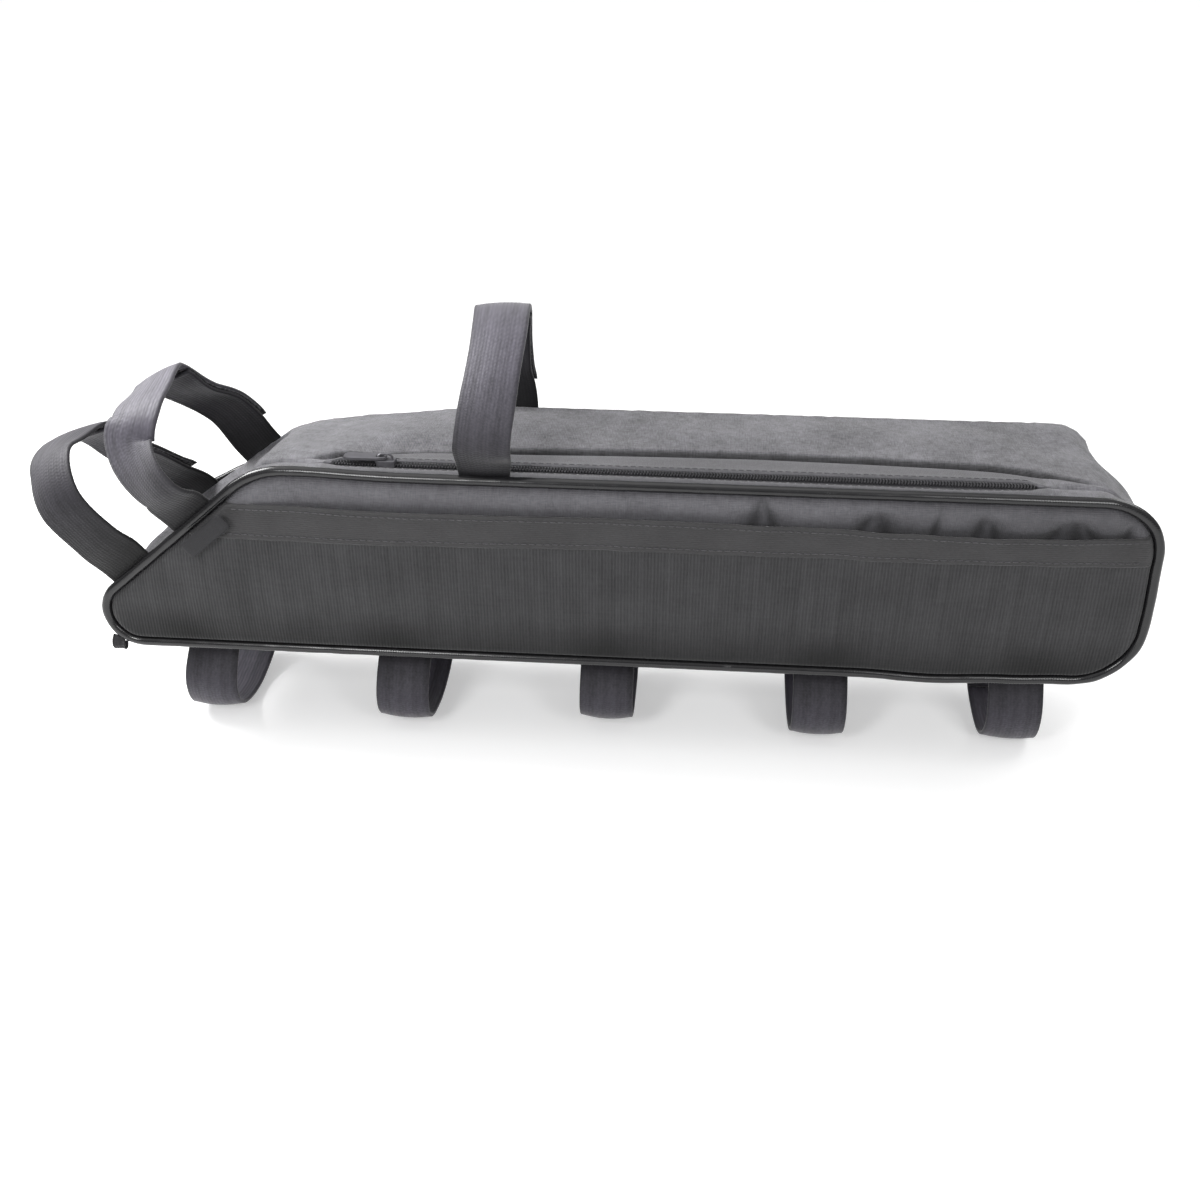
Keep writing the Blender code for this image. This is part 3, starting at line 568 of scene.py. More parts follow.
def make_materials():
    return {
        "body": melange("woven_body_cloth", 0.044, 0.168, 0.6),
        "side": melange("woven_side_cloth", 0.06, 0.145, 0.58, flecks=0.6, shading=mouth_shade),
        "far_side": melange("woven_far_side_cloth", 0.05, 0.15, 0.58, flecks=0.8),
        "guard": melange("zip_guard_cloth", 0.042, 0.11, 0.6, flecks=0.5),
        "lining": melange("lining_cloth", 0.04, 0.09, 0.55, sheen=0.1, flecks=0.6),
        "hem": hem_material(),
        "pocket": pocket_material(),
        "piping": piping_material(),
        "webbing": webbing_material("webbing_nylon", 0.034, 0.112),
        # The tabs' webbing is a darker copy, as painted shade on the inside of the loops
        "loops": webbing_material("webbing_tab_painted_shade", 0.017, 0.042),
        # Lit and shaded copies of the webbing: the upper nose loop's is brighter as painted light, the
        # lower's darker as painted shade
        "nose_upper": webbing_material("webbing_nose_upper_painted_light", 0.042, 0.138, 0.03, 0.07),
        "nose_lower": webbing_material("webbing_nose_lower_painted_shade", 0.014, 0.045, 0.03, 0.07),
        "hook": hook_material(),
        "thread": thread_material(),
        "nylon": nylon_material(),
        "metal": metal_material(),
        "tag": tag_material(),
    }


def pocket_material():
    """Fine upright ribs crossed by a fainter weft."""
    paint = Paint("ribbed_pocket_cloth", 0.75, specular=0.25, sheen=0.2)
    u, v, _ = paint.place()
    uneven = paint.fibres(u * 420.0, v * 12.0, 0.0, 2.0, 0.6)
    rib = (u * (TURN / RIB_PITCH) + uneven * 0.7).sine() * 0.5 + 0.5
    weft = paint.fibres(u * 60.0, v * 900.0, 4.0, 2.0, 0.6)
    fleck = paint.fibres(u * 900.0, v * 420.0, 2.0, 3.0, 0.65)
    cloud = paint.noise(paint.point(u, v, 5.0), 55.0, 3.0)
    tone = (uneven - 0.5) * 0.55 + (rib - 0.5) * 0.3 + (weft - 0.5) * 0.3 + (fleck - 0.5) * 0.5
    tone = tone + (cloud - 0.5) * 0.5 + 0.5
    paint.colour(tone, [(0.1, 0.016), (0.9, 0.052)], POCKET_TINT, pocket_shade(u, v))
    paint.relief(rib * 0.8 + fleck * 0.6 + weft * 0.4, 0.00018)
    return paint.material


def hem_material():
    """Smooth knitted tape with fine lines along it."""
    paint = Paint("hem_tape_cloth", 0.62, specular=0.3, sheen=0.2)
    u, v, _ = paint.place()
    fine = ripple(v, 0.0009)
    fleck = paint.fibres(u * 700.0, v * 1400.0, 0.0, 3.0, 0.6)
    cloud = paint.noise(paint.point(u, v, 1.0), 70.0, 3.0)
    tone = (fleck - 0.5) * 0.8 + (fine - 0.5) * 0.15 + (cloud - 0.5) * 0.6 + 0.5
    paint.colour(tone, [(0.1, 0.0195), (0.9, 0.045)], HEM_TINT)
    paint.relief(fine * 0.6 + fleck, 0.00012)
    return paint.material


def piping_material():
    """Slightly glossy bias tape drawn tight over a cord."""
    paint = Paint("piping_cloth", 0.2, specular=0.45)
    u, v, _ = paint.place()
    twill = ripple(u + v, 0.0011)
    pucker = paint.fibres(u * 240.0, v * 60.0)
    tone = pucker * 0.7 + twill * 0.3
    paint.colour(tone, [(0.15, 0.006), (0.85, 0.014)])
    paint.rough(tone, 0.16, 0.24)
    paint.relief(pucker * 0.8 + twill * 0.15, 0.0001)
    return paint.material


def webbing_material(name, dark, light, root_shade=0.09, reach=0.056):
    """Nylon webbing: close cords along it, crossed by the weft; u is the height over the bag.

    The webbing is darker at its edges, and painted shade darkens it down at its root, up to its reach."""
    paint = Paint(name, 0.55, specular=0.3, sheen=light * 2)
    u, v, _ = paint.place()
    cord = ripple(v, CORD_PITCH)
    weft = (u * (TURN / 0.0011) + (v * (TURN / (2 * CORD_PITCH))).sine() * 1.2).sine() * 0.5 + 0.5
    fleck = paint.fibres(u * 500.0, v * 900.0, 0.0, 3.0, 0.6)
    streak = paint.fibres(u * 14.0, v * 200.0, 6.0)
    cloud = paint.noise(paint.point(u, v, 2.0), 60.0, 3.0)
    tone = (fleck - 0.5) * 0.8 + (cord * weft - 0.25) * 0.12 + (cloud - 0.5) * 0.5
    tone = tone + (streak - 0.5) * 0.9 + 0.45
    # Darker selvedges, times painted shade towards the root
    shade = v.size().between(0.009, 0.0125, 1, 0.66) * u.between(-0.002, reach, root_shade, 1)
    paint.colour(tone, [(0.1, dark), (0.9, light)], WEBBING_TINT, shade)
    paint.rough(tone, 0.66, 0.5)
    paint.relief(cord * 0.4 + weft * 0.35 + fleck * 0.6, 0.00014)
    return paint.material


def hook_material():
    """Short stiff hooks, as a fine speckle."""
    paint = Paint("hook_tape", 0.7, specular=0.4)
    u, v, _ = paint.place()
    hooks = paint.node("ShaderNodeTexVoronoi", {"Vector": paint.point(u, v), "Scale": 900.0})
    paint.colour(hooks, [(0.1, 0.1), (0.7, 0.02)])
    paint.relief(hooks, 0.0005)
    return paint.material


def thread_material():
    paint = Paint("sewing_thread", 0.5, sheen=0.2)
    twist = paint.noise(paint.point(*paint.place(uv=False)), 900.0, 2.0)
    paint.colour(twist, [(0.3, 0.03), (0.7, 0.06)])
    paint.relief(twist, 0.0001)
    return paint.material


def nylon_material():
    """Zip coil and tape nylon."""
    paint = Paint("zip_nylon", 0.4, specular=0.5)
    x, y, z = paint.place(uv=False)
    grain = paint.fibres(x * 1200.0, y * 1200.0, z * 1200.0)
    paint.colour(grain, [(0.2, 0.024), (0.8, 0.05)])
    paint.rough(grain, 0.35, 0.55)
    paint.relief(grain, 0.00005)
    return paint.material


def metal_material():
    """Black plated zinc with fine scuffs."""
    paint = Paint("black_plated_metal", 0.5, metallic=0.4)
    x, y, z = paint.place(uv=False)
    cast = paint.noise(paint.point(x, y, z), 420.0, 3.0)
    scuff = paint.fibres(x * 300.0, y * 2400.0, z * 2400.0, 3.0)
    tone = cast * 0.6 + scuff * 0.4
    paint.colour(tone, [(0.3, 0.075), (0.7, 0.14)])
    paint.rough(tone, 0.4, 0.6)
    paint.relief(tone, 0.00004)
    return paint.material


def tag_material():
    """Plain woven satin with a fine line along it."""
    paint = Paint("plain_tag_satin", 0.6, specular=0.25)
    u, v, _ = paint.place()
    tone = ripple(v, 0.0005) * 0.3 + paint.fibres(u * 600.0, v * 2400.0, 0.0, 3.0) * 0.7
    paint.colour(tone, [(0.25, 0.014), (0.75, 0.028)])
    paint.relief(tone, 0.0001)
    return paint.material


# Cloth round the edge
# Its grid crosses the bag in nine parts: the front edge, the strip before the zip, the two lips
# of the slit, the band behind the zip with its seam, the panel, its bent line and the back edge.
# The values say how far along a part its points lie, how far they rise, and how much painted shade darkens a
# seam.

LIP_ALONG = np.array([-2.2, -1.2, -0.5, 0.0, 0.22, 0.15, -0.5, -1.6])
LIP_RISE = np.array([0.12, 0.14, 0.0, -0.35, -0.75, -1.15, -1.4, -1.45])
FOLDED = 4
SEAM_ALONG = np.array([-1.8, -0.8, 0.0, 0.3, 0.7, 1.3, 2.6])
SEAM_RISE = np.array([-0.35, -0.9, -1.9, -1.6, -0.5, 0.6, 1.25])
# Painted shade: how dark the seam behind the zip is, and below, the edges beside the piping
SEAM_PAINTED_SHADE = np.array([0, 0.3, 1, 1, 1, 0.85, 0.3])
EDGE_Y = np.array([41.9, 41.5, 41.1, 40.5, 39.6])
EDGE_PAINTED_SHADE = np.array([0.7, 0.5, 0.2, 0, 0])
EDGE_RISE = np.array([-2.3, -1.5, -0.8, -0.3, 0.0])
FRONT_EDGE_RISE = np.array([-2.3, -1.6, -1.1, -0.9, -1.15])
STRIP_RISE = np.array([-1.5, -0.7, -0.1, 0.1])
BACK_RISE = np.array([1.9, 1.2, 0.2, -1.2, -2.6])
PANEL_ROWS = 20
FRONT_EDGE, STRIP, FRONT_LIP, BACK_LIP, ZIP_BAND, SEAM, PANEL, HINGE_LINE, BACK_EDGE = range(9)
SLOPE_HOLLOW, TAIL_HOLLOW, SEAT_SINK = 4.4, 2.6, 0.5
CREASE_Y = -38.6
CLOSED_Y = -29.7
BACK_LIP_Y = -24.15
FRONT_LIP_X = [-76, -33, 25, 78, 113, 156, 199, 225]
FRONT_LIP_Y = [-31.5, -32.6, -31.9, -32.3, -32.9, -33.5, -34.2, -32.0]
SEAM_X = [-92, -81, -72, -59, -45, -33, 0, 25, 51, 78, 113, 156, 199, 216, 233, 250, 262]
SEAM_Y = [-28.3, -26.5, -22, -18.2, -14.6, -12.6, -11.6, -10.6, -9.2, -8.5, -7.9, -9.2, -11.5, -13.4, -18.5,
          -25, -28.3]


def eased(at, places, values, reach=9.0):
    """A soft line through places: the mean of the straight lines about each point."""
    steps = np.linspace(-reach, reach, 9)
    return np.mean([np.interp(at + step, places, values) for step in steps], axis=0)


def along_top():
    """Each ring step's place along the top, running on down the slope and the tail."""
    apex = np.argmax(RING[:, 1] > TOP_Z - 1e-6)
    return (RING_RUN - RING_RUN[apex] + RING[apex, 0])[:, None]


def band_shape():
    """Places across and rises of the cloth round the edge, for each step of the ring."""
    x = along_top()
    open_by = within(x, CLOTH_LEFT, CLOTH_LEFT + 8, CLOTH_RIGHT - 8, CLOTH_RIGHT)
    deep = within(x, CLOTH_LEFT - 8, CLOTH_LEFT + 2, CLOTH_RIGHT - 2, CLOTH_RIGHT + 8)
    seam_deep = within(x, -90, -70, 244, 262)
    groove = within(x, -128, -100, 262, 285)
    front_edge = CLOSED_Y - 0.25 + (eased(x, FRONT_LIP_X, FRONT_LIP_Y) - CLOSED_Y + 0.25) * open_by
    back_edge = CLOSED_Y + 0.25 + (BACK_LIP_Y - CLOSED_Y - 0.25) * open_by
    seam = np.maximum(eased(x, SEAM_X, SEAM_Y, 6.0), back_edge + 1.4)
    tight = np.minimum(1, (seam - back_edge) / 4.2)

    # Each lip folds under at the slit, and both close up beyond the zip's ends
    folded = np.arange(len(LIP_ALONG)) >= FOLDED
    shut = np.where(folded, 0.04 * (np.cumsum(folded)), LIP_ALONG * 0.7)
    opened = np.where(folded, LIP_ALONG, LIP_ALONG * (0.7 + 0.3 * open_by))
    front_along = open_by * opened + (1 - open_by) * shut
    back_along = np.where(LIP_ALONG < 0, front_along * np.where(folded, 1, tight), front_along)

    def columns(values):
        return np.broadcast_to(values, (len(x), len(values)))

    # Each part is a pair: places across the bag and rises
    strip = CREASE_Y + (front_edge - 2.4 - CREASE_Y) * np.array([0, 0.28, 0.58, 0.86])
    parts = [
        (columns(-EDGE_Y), columns(FRONT_EDGE_RISE)),
        (strip, columns(STRIP_RISE)),
        (front_edge + front_along, columns(LIP_RISE)),
        ((back_edge - back_along)[:, ::-1], columns(LIP_RISE[::-1])),
    ]
    start, end = back_edge + 2.2 * tight, seam - 1.8 * tight
    steps = np.array([0.2, 0.4, 0.6, 0.8])
    parts.append((start + (end - start) * steps, columns(-0.1 - 0.2 * steps)))
    seam_along = np.where(SEAM_ALONG < 0, SEAM_ALONG * tight, SEAM_ALONG)
    parts.append((seam + seam_along, columns(SEAM_RISE)))
    t = np.arange(1, PANEL_ROWS + 1) / PANEL_ROWS
    start = seam + SEAM_ALONG[-1]
    roll = 2.4 * smooth(x, -72, -55) * (1 - smooth(x, -30, 15))
    crown = 1.25 * (1 - t) + 1.9 * t + 1.0 * np.sin(math.pi * t) ** 0.9
    across = start + (HINGE_Y - start) * t ** 1.25
    crown = crown - roll * (1 - smooth(across - start, 0, 17)) ** 1.5
    parts.append((across, crown))
    parts.append((columns([HINGE_Y + 1.0]), columns([2.1])))
    parts.append((columns(EDGE_Y[::-1]), columns(BACK_RISE)))
    y = np.concatenate([p[0] for p in parts], 1)
    rise = np.concatenate([np.broadcast_to(p[1], p[0].shape) for p in parts], 1)
    starts = np.cumsum([0] + [p[0].shape[1] for p in parts])
    roll_column = np.zeros(y.shape[1])
    roll_column[starts[SEAM]:starts[PANEL]] = SEAM_ALONG > 0
    rise = rise - roll * roll_column * smooth(x, -72, -55)
    # Away from the zip the cloth is plain, with shallow grooves where the seams run out
    plain = 1.1 * (1 - (y / 42) ** 2) + np.interp(np.abs(y), EDGE_Y[::-1], EDGE_RISE[::-1])
    tuck = back_tuck(RING_NORMAL[:, 1:], RING[:, :1])
    plain = plain + 0.6 * tuck * smooth(y, 5, 36) * (1 - smooth(y, 39.8, 41))
    plain = plain - 1.6 * groove * (1 - deep) * bump(y, CLOSED_Y, 1.5)
    plain = plain - 1.3 * (seam_deep - deep).clip(0, 1) * bump(y, seam, 1.3)
    rise = deep * rise + (1 - deep) * plain - tuck * smooth(y, 40.3, 43)
    return y, rise, starts


def band_points():
    """The cloth round the edge with its crowns, creases and puckers, and where its parts start."""
    y, rise, starts = band_shape()
    run = RING_RUN[:, None]
    on_top = smooth(RING_NORMAL[:, 1:], 0.9, 1)
    on_slope = bump(RING_NORMAL[:, :1], -math.sin(SLOPE), 0.12) * (RING_NORMAL[:, 1:] > 0)
    under = (RING_NORMAL[:, 1:] < -0.9)
    clear = smooth(41 - np.abs(y), 0, 9)
    panel = clear * smooth(y, -8, 2)
    rise = rise + panel * on_top * 0.4 * waves(run, y, 3, 44, direction=1.25, spread=0.35)
    rise = rise + clear * (1 - on_top) * 0.5 * waves(run, y, 5, 30, direction=0.4, spread=0.9)
    rise = rise - clear * on_slope * SLOPE_HOLLOW
    tail_corner = bump(RING_NORMAL[:, :1], 0.6, 0.3) * (RING_NORMAL[:, 1:] > 0)
    rise = rise - clear * tail_corner * TAIL_HOLLOW
    crease = panel * on_top * bump(RING[:, :1], 196, 46)
    rise = rise + crease * 0.5 * waves(run, y, 7, 15, direction=0.7, spread=0.45)
    pucker = np.exp(-(41.9 - np.abs(y)) / 2.6)
    rise = rise - 0.3 * pucker * (1 + waves(run, y * 0, 8, 9, spread=0.01))
    for x in BOTTOM_X:
        # The bottom lies flat under each strap
        seat = under * (1 - smooth(np.abs(RING[:, :1] - x), WEBBING / 2 + 1.0, WEBBING / 2 + 9))
        rise = rise * (1 - seat) - SEAT_SINK * seat
    flat = RING[:, None] - RING_NORMAL[:, None] * (SKIN_INSET - rise[..., None])
    points = slouch(np.stack([flat[..., 0], y, flat[..., 1]], 2))
    uv = np.stack(np.broadcast_arrays(run, y), 2) * MM
    return points, uv, starts


def seam_painted_shade(starts):
    """How much painted shade darkens each point of the band, in the seam behind the zip and beside the
    piping.
    """
    x = along_top()
    dark = np.zeros((len(x), starts[-1]))
    dark[:, starts[SEAM]:starts[PANEL]] = SEAM_PAINTED_SHADE * smooth(x, -84, -66) * (1 - smooth(x, 240, 256))
    dark[:, :starts[STRIP]] = EDGE_PAINTED_SHADE
    dark[:, starts[BACK_EDGE]:] = EDGE_PAINTED_SHADE[::-1]
    return dark


def make_band(paint):
    """The cloth round the edge, with the part that lifts as pieces of their own."""
    points, uv, starts = band_points()
    rings, columns = points.shape[:2]
    normals = grid_normals(points, True)
    dark = seam_painted_shade(starts)[..., None]
    mouth = starts[BACK_LIP] - 1
    hinge = starts[HINGE_LINE] - 1
    x = RING[:, 0]
    on_top = RING_NORMAL[:, 1] > 0.9999
    cell_x = (x + np.roll(x, -1)) / 2
    zone = on_top & np.roll(on_top, -1) & (cell_x > CLOTH_LEFT) & (cell_x < CLOTH_RIGHT)
    lifts = np.zeros((rings, columns - 1), bool)
    lifts[zone, mouth + 1:hinge] = True
    fixed = ~lifts
    fixed[zone, mouth] = False
    front = fixed & zone[:, None]
    front[:, :starts[STRIP] - 1] = False
    front[:, mouth:] = False

    def piece(name, mask, material):
        faces = grid_faces(rings, columns, wrap=True, keep=mask)
        faces, kept, kept_normals, kept_uv, kept_painted_shade = used_only(faces, points, normals, uv, dark)
        return add_mesh(name, kept, faces, paint[material], kept_uv, kept_normals, kept_painted_shade)

    # The strip before the zip wears the darker guard cloth as painted shade, where it sinks beside the piping
    declare(piece("front_strip_painted_shade", front, "guard"), "zip_guard", "front_strip")
    shell = piece("body_cloth", fixed & ~front, "body")
    declare(shell, "body_cloth", "bottom_panel", "nose_panel", "tail_panel", "back_edge")
    guard_end = starts[SEAM] + 2
    for label, ramp, half in (("left", LEFT_RAMP, cell_x < SPLIT_X), ("right", RIGHT_RAMP, cell_x > SPLIT_X)):
        panel_mask = lifts & half[:, None]
        guard_mask = panel_mask.copy()
        guard_mask[:, guard_end:] = False
        panel_mask[:, :guard_end] = False
        panel = piece("flap_cloth_" + label, panel_mask, "body")
        guard = piece("zip_guard_" + label, guard_mask, "guard")
        declare(panel, "body_cloth", "flap_panel", "flap_foam", body=None)
        declare(guard, "zip_guard", "flap_band", body=None)
        bend_with_flap(panel, ramp)
        bend_with_flap(guard, ramp)
    return points, normals, starts, zone


# Sides

# Folds below the band as (x, half width, height, lean), dented in and darkened with painted shade, and gapes
# as (x, width, share)
MOUTH_FOLDS = [(110, 4.5, 17, 3.5), (119, 3.5, 17, -6), (155, 4, 9, 5), (165, 5, 11, -3),
               (185, 2.6, 14, 2), (203, 4, 11, 2.5), (210, 3, 8, -2), (233, 5, 7, 5), (243, 5, 10, -2),
               (250, 3.5, 7, -5), (262, 4, 8, 2)]
GAPES = [(115, 9, 0.7), (162, 12, 0.8), (185, 4, 0.4), (206, 9, 0.7), (241, 13, 0.9), (262, 6, 0.4),
         (-20, 30, 0.1), (60, 25, 0.12)]

# How deep a side's cloth lies at each inset from the outline, and its rows along the edge
SIDE_INSETS, SIDE_DEPTHS = [4.4, 4.8, 5.3, 6.2, 8, 12], [42.7, 43.2, 44.0, 44.8, 45.2, 45.3]
SIDE_ROWS, SIDE_STEP = [4.5, 4.9, 5.5, 6.4, 7.8, 9.8, 12.4], 4.2
# Where the folds at the pocket's mouth need closer points
FINE_X, FINE_Z, FINE_STEP = (98, 268), (68.5, 84), 1.5
PIPING_INSET, PIPING_Y, PIPING_RADIUS = 2.3, 43.7, 2.25


def gape(x):
    """How far the pocket's mouth stands open, 0 to 1."""
    return np.clip(sum(a * bump(x, c, w) for c, w, a in GAPES), 0, 1)


def side_depth(x, z, left):
    """How far out a side's cloth lies."""
    inset = inset_of(x, z)
    out = np.interp(inset, SIDE_INSETS, SIDE_DEPTHS)
    soft = smooth(inset, 5, 20)
    if left:
        above = smooth(z, 66, 74)
        out = out + above * 1.6 * smooth(inset, 4.8, 9.5) + 0.2 * soft * above * waves(x, z, 21, 42)
        mouth = smooth(z, 58, 70) * (1 - smooth(z, 73.5 + 1.5 * gape(x), 80))
        out = out - 2.6 * gape(x) * mouth
        for place, half, top, lean in MOUTH_FOLDS:
            climb = (z - 70) / top
            offset = (x - place - climb * lean) / (half * 0.75)
            out = out - 1.5 * np.exp(-offset ** 2) * (1 - smooth(climb, 0.55, 1.1))
        return out - 0.5 * (1 - above) * soft
    folds = 0.55 * waves(x, z, 23, 60, spread=0.7) + 0.3 * waves(x, z, 25, 26, spread=1.2)
    return out + 2.6 * smooth(inset, 5, 40) + soft * folds


def flat_fill(insets, step):
    """Points and triangles that fill the outline, with rows along its edge."""
    rings = [RING - RING_NORMAL * i for i in insets]
    low, high = RING.min(0), RING.max(0)
    xs = np.arange(low[0], high[0], step)
    zs = np.arange(low[1], high[1], step * 0.87)
    inner = []
    for row, z in enumerate(zs):
        for x in xs + (row % 2) * step / 2:
            inner.append((x, z))
    inner = np.array(inner)
    closed = np.concatenate([FINE_RING, FINE_RING[:1]])
    inside = np.zeros(len(inner), bool)
    for (ax, az), (bx, bz) in zip(closed, closed[1:]):
        crosses = (az > inner[:, 1]) != (bz > inner[:, 1])
        if crosses.any():
            at = ax + (bx - ax) * (inner[:, 1] - az) / (bz - az if bz != az else 1)
            inside ^= crosses & (inner[:, 0] < at)
    fine_x, fine_z = np.meshgrid(np.arange(*FINE_X, FINE_STEP), np.arange(*FINE_Z, FINE_STEP))
    fine = np.stack([fine_x.ravel(), fine_z.ravel()], 1)
    x, z = inner.T
    in_fine = (x > FINE_X[0] - 1) & (x < FINE_X[1] + 1) & (z > FINE_Z[0] - FINE_STEP) & (z < FINE_Z[1] + 1)
    inner = np.concatenate([inner[inside & ~in_fine], fine])
    inner = inner[inset_of(inner[:, 0], inner[:, 1]) > insets[-1] + step * 0.5]
    points = np.concatenate(rings + [inner])
    count = len(RING)
    result = delaunay_2d_cdt([Vector(p) for p in points], [], [list(range(count))], 1, 1e-5)
    coords = np.array([tuple(c) for c in result[0]])
    return coords, [tuple(f) for f in result[2]]


def make_sides(paint):
    """Both sides' padded cloths, each with its piping."""
    coords, faces = flat_fill(SIDE_ROWS, SIDE_STEP)
    x, z = coords.T
    for label, sign in (("left", -1), ("right", 1)):
        depth = side_depth(x, z, sign < 0)
        points = slouch(np.stack([x, sign * depth, z], 1))
        cloth = paint["side" if label == "left" else "far_side"]
        obj = add_mesh("side_cloth_" + label, points, orient(points, faces, sign), cloth, coords * MM)
        declare(obj, "body_cloth", "side_panel_" + label, "side_foam_" + label)
        make_piping(label, sign, paint)


def orient(points, faces, sign):
    """Turns faces so that they look to one side of the bag."""
    turned = []
    for face in faces:
        a, b, c = (points[i] for i in face[:3])
        up = np.cross(b - a, c - a)[1]
        turned.append(face if up * sign > 0 else face[::-1])
    return turned


def make_piping(label, sign, paint):
    """A covered cord round one side, puckered by its stitches."""
    tuck = back_tuck(RING_NORMAL[:, 1:], RING[:, :1]) if sign > 0 else 0
    path = RING - RING_NORMAL * (PIPING_INSET + tuck)
    points = slouch(np.stack([path[:, 0], np.full(len(path), sign * PIPING_Y), path[:, 1]], 1))
    radius = PIPING_RADIUS + 0.06 * waves(RING_RUN, 0 * RING_RUN, 31, 14, spread=0.01)
    obj = tube("piping_cloth_" + label, points, radius, 18, paint["piping"], closed_path=True)
    declare(obj, "piping", "piping_" + label)


# Pocket

POCKET_LOW = BOTTOM_Z + 4.9
POCKET_LEFT, POCKET_RIGHT = -150, 270
POCKET_ROWS, POCKET_COLUMNS = 34, 150
POCKET_INSETS, POCKET_DEPTHS = [4.6, 5.0, 5.8, 7.2], [43.4, 44.6, 45.8, 46.2]
HEM_TOP_X, HEM_TOP_Z = [-150, -83, 67, 140, 212, 270], [72.0, 72.3, 74.0, 73.0, 71.0, 72.0]
HEM_LOW_X, HEM_LOW_Z = [-150, -83, 67, 212, 270], [56.5, 56.9, 59.4, 59.2, 59.0]


def pocket_depth(x, z):
    """How far out the pocket's cloth lies."""
    left, right = run_span(z, 5.2)
    u = np.clip((x - left) / (right - left), 0, 1)
    v = np.clip((z - BOTTOM_Z - 5.2) / (73.0 - BOTTOM_Z - 5.2), 0, 1.05)
    swell = (1 - np.abs(2 * u - 1) ** 6) * np.sin(math.pi / 2 * v ** 0.8)
    inset = inset_of(x, z)
    edge = np.interp(inset, POCKET_INSETS, POCKET_DEPTHS) - POCKET_DEPTHS[-1]
    soft = smooth(inset, 6, 22)
    out = 46.1 + 4.6 * swell + edge
    out = out + soft * (0.35 * waves(x, z, 41, 70, spread=0.5) + 0.22 * waves(x, z, 43, 26, spread=0.4))
    return out + 0.9 * gape(x) * smooth(z, 48, 72)


def pocket_rows(name, heights, offsets, material):
    """Rows of pocket cloth: heights is a list of functions of x, offsets push them outwards."""
    even = np.linspace(0, 1, POCKET_COLUMNS)
    shares = (1 - np.cos(math.pi * even)) / 2 * 0.35 + even * 0.65
    rows = []
    for height, offset in zip(heights, offsets):
        x = np.linspace(POCKET_LEFT, POCKET_RIGHT, POCKET_COLUMNS)
        for _ in range(4):
            z = height(x)
            left, right = run_span(z, 4.8)
            x = left[0] + (right[-1] - left[0]) * shares
        rows.append(np.stack([x, -(pocket_depth(x, z) + offset), z], 1))
    rows = np.array(rows)
    points = slouch(rows)
    faces = grid_faces(len(rows), POCKET_COLUMNS, flip=True)
    return add_mesh(name, points, faces, material, rows[..., [0, 2]] * MM), points


def hem_top(x):
    return np.interp(x, HEM_TOP_X, HEM_TOP_Z)


def hem_low(x):
    return np.interp(x, HEM_LOW_X, HEM_LOW_Z)


# The hem tape's rows: share of its height, and how far it stands off the pocket
HEM_ROWS = [(0, 0.1), (0.015, 0.5), (0.05, 0.62), (0.1, 0.55), (0.16, 0.42), (0.22, 0.55), (0.35, 0.66),
            (0.5, 0.7), (0.65, 0.66), (0.76, 0.55), (0.82, 0.45), (0.88, 0.58), (0.95, 0.6), (0.99, 0.35),
            (1.01, -0.2), (1.0, -0.8), (0.96, -1.2), (0.8, -1.3), (0.5, -1.3)]
HEM_STITCH_ROWS = (4, 11)


def make_pocket(paint):
    """The pocket's ribbed cloth, and the tape that is folded over its top."""
    def cloth_row(share):
        return lambda x: POCKET_LOW + (hem_top(x) - 4 - POCKET_LOW) * share ** 1.5

    def hem_row(share):
        return lambda x: hem_low(x) + (hem_top(x) - hem_low(x)) * share

    rows = [cloth_row(share) for share in np.linspace(0, 1, POCKET_ROWS)]
    panel, _ = pocket_rows("pocket_cloth", rows, [0] * POCKET_ROWS, paint["pocket"])
    declare(panel, "pocket_cloth", "pocket_panel")
    rows, offsets = zip(*[(hem_row(share), offset) for share, offset in HEM_ROWS])
    hem, points = pocket_rows("pocket_hem_tape", rows, offsets, paint["hem"])
    declare(hem, "hem_tape", "pocket_hem")
    return points


# Tag and corner loop

TAG_X, TAG_Z = -124.5, 59.5
TAG_HALF, TAG_HALF_WIDE, TAG_THICK = 13.0, 4.0, 0.55
CORNER_LOOP = [(-176, -44.5, 2.5), (-176.5, -45.6, 0.5), (-176.6, -46.0, -1.8), (-176.2, -45.6, -3.6),
               (-175.8, -44.6, -3.2), (-175.6, -43.9, -0.5)]


def make_tag(paint):
    """The bare tag along the slope."""
    out_by = -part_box("seam_tag")[0].y / MM
    centre = np.array([TAG_X, -out_by + TAG_THICK, TAG_Z])
    along = np.array([math.cos(SLOPE), 0, math.sin(SLOPE)]) * TAG_HALF
    up = np.array([-math.sin(SLOPE), 0, math.cos(SLOPE)]) * TAG_HALF_WIDE
    rows, columns = 15, 7
    points, uv = [], []
    for out in (0.0, TAG_THICK):
        for a in np.linspace(-1, 1, rows):
            for b in np.linspace(-1, 1, columns):
                corner = 1 - 0.02 * (abs(a) ** 10 + abs(b) ** 10)
                lift = out * (1 - 0.5 * max(abs(a), abs(b)) ** 14) + 0.25 * (1 - a * a)
                place = centre + (along * a + up * b) * corner
                points.append(place - np.array([0, lift, 0]))
                uv.append((TAG_HALF * a * MM, TAG_HALF_WIDE * b * MM))
    count = rows * columns
    faces = [tuple(i + count for i in f) for f in grid_faces(rows, columns)]
    rim = [i * columns for i in range(rows)] + [(rows - 1) * columns + k for k in range(1, columns)]
    rim += [i * columns + columns - 1 for i in range(rows - 2, -1, -1)] + list(range(columns - 2, 0, -1))
    for a, b in zip(rim, rim[1:] + rim[:1]):
        faces.append((a, b, b + count, a + count))
    obj = add_mesh("seam_tag_cloth", points, faces, paint["tag"], uv)
    declare(obj, "plain_tag", "seam_tag")


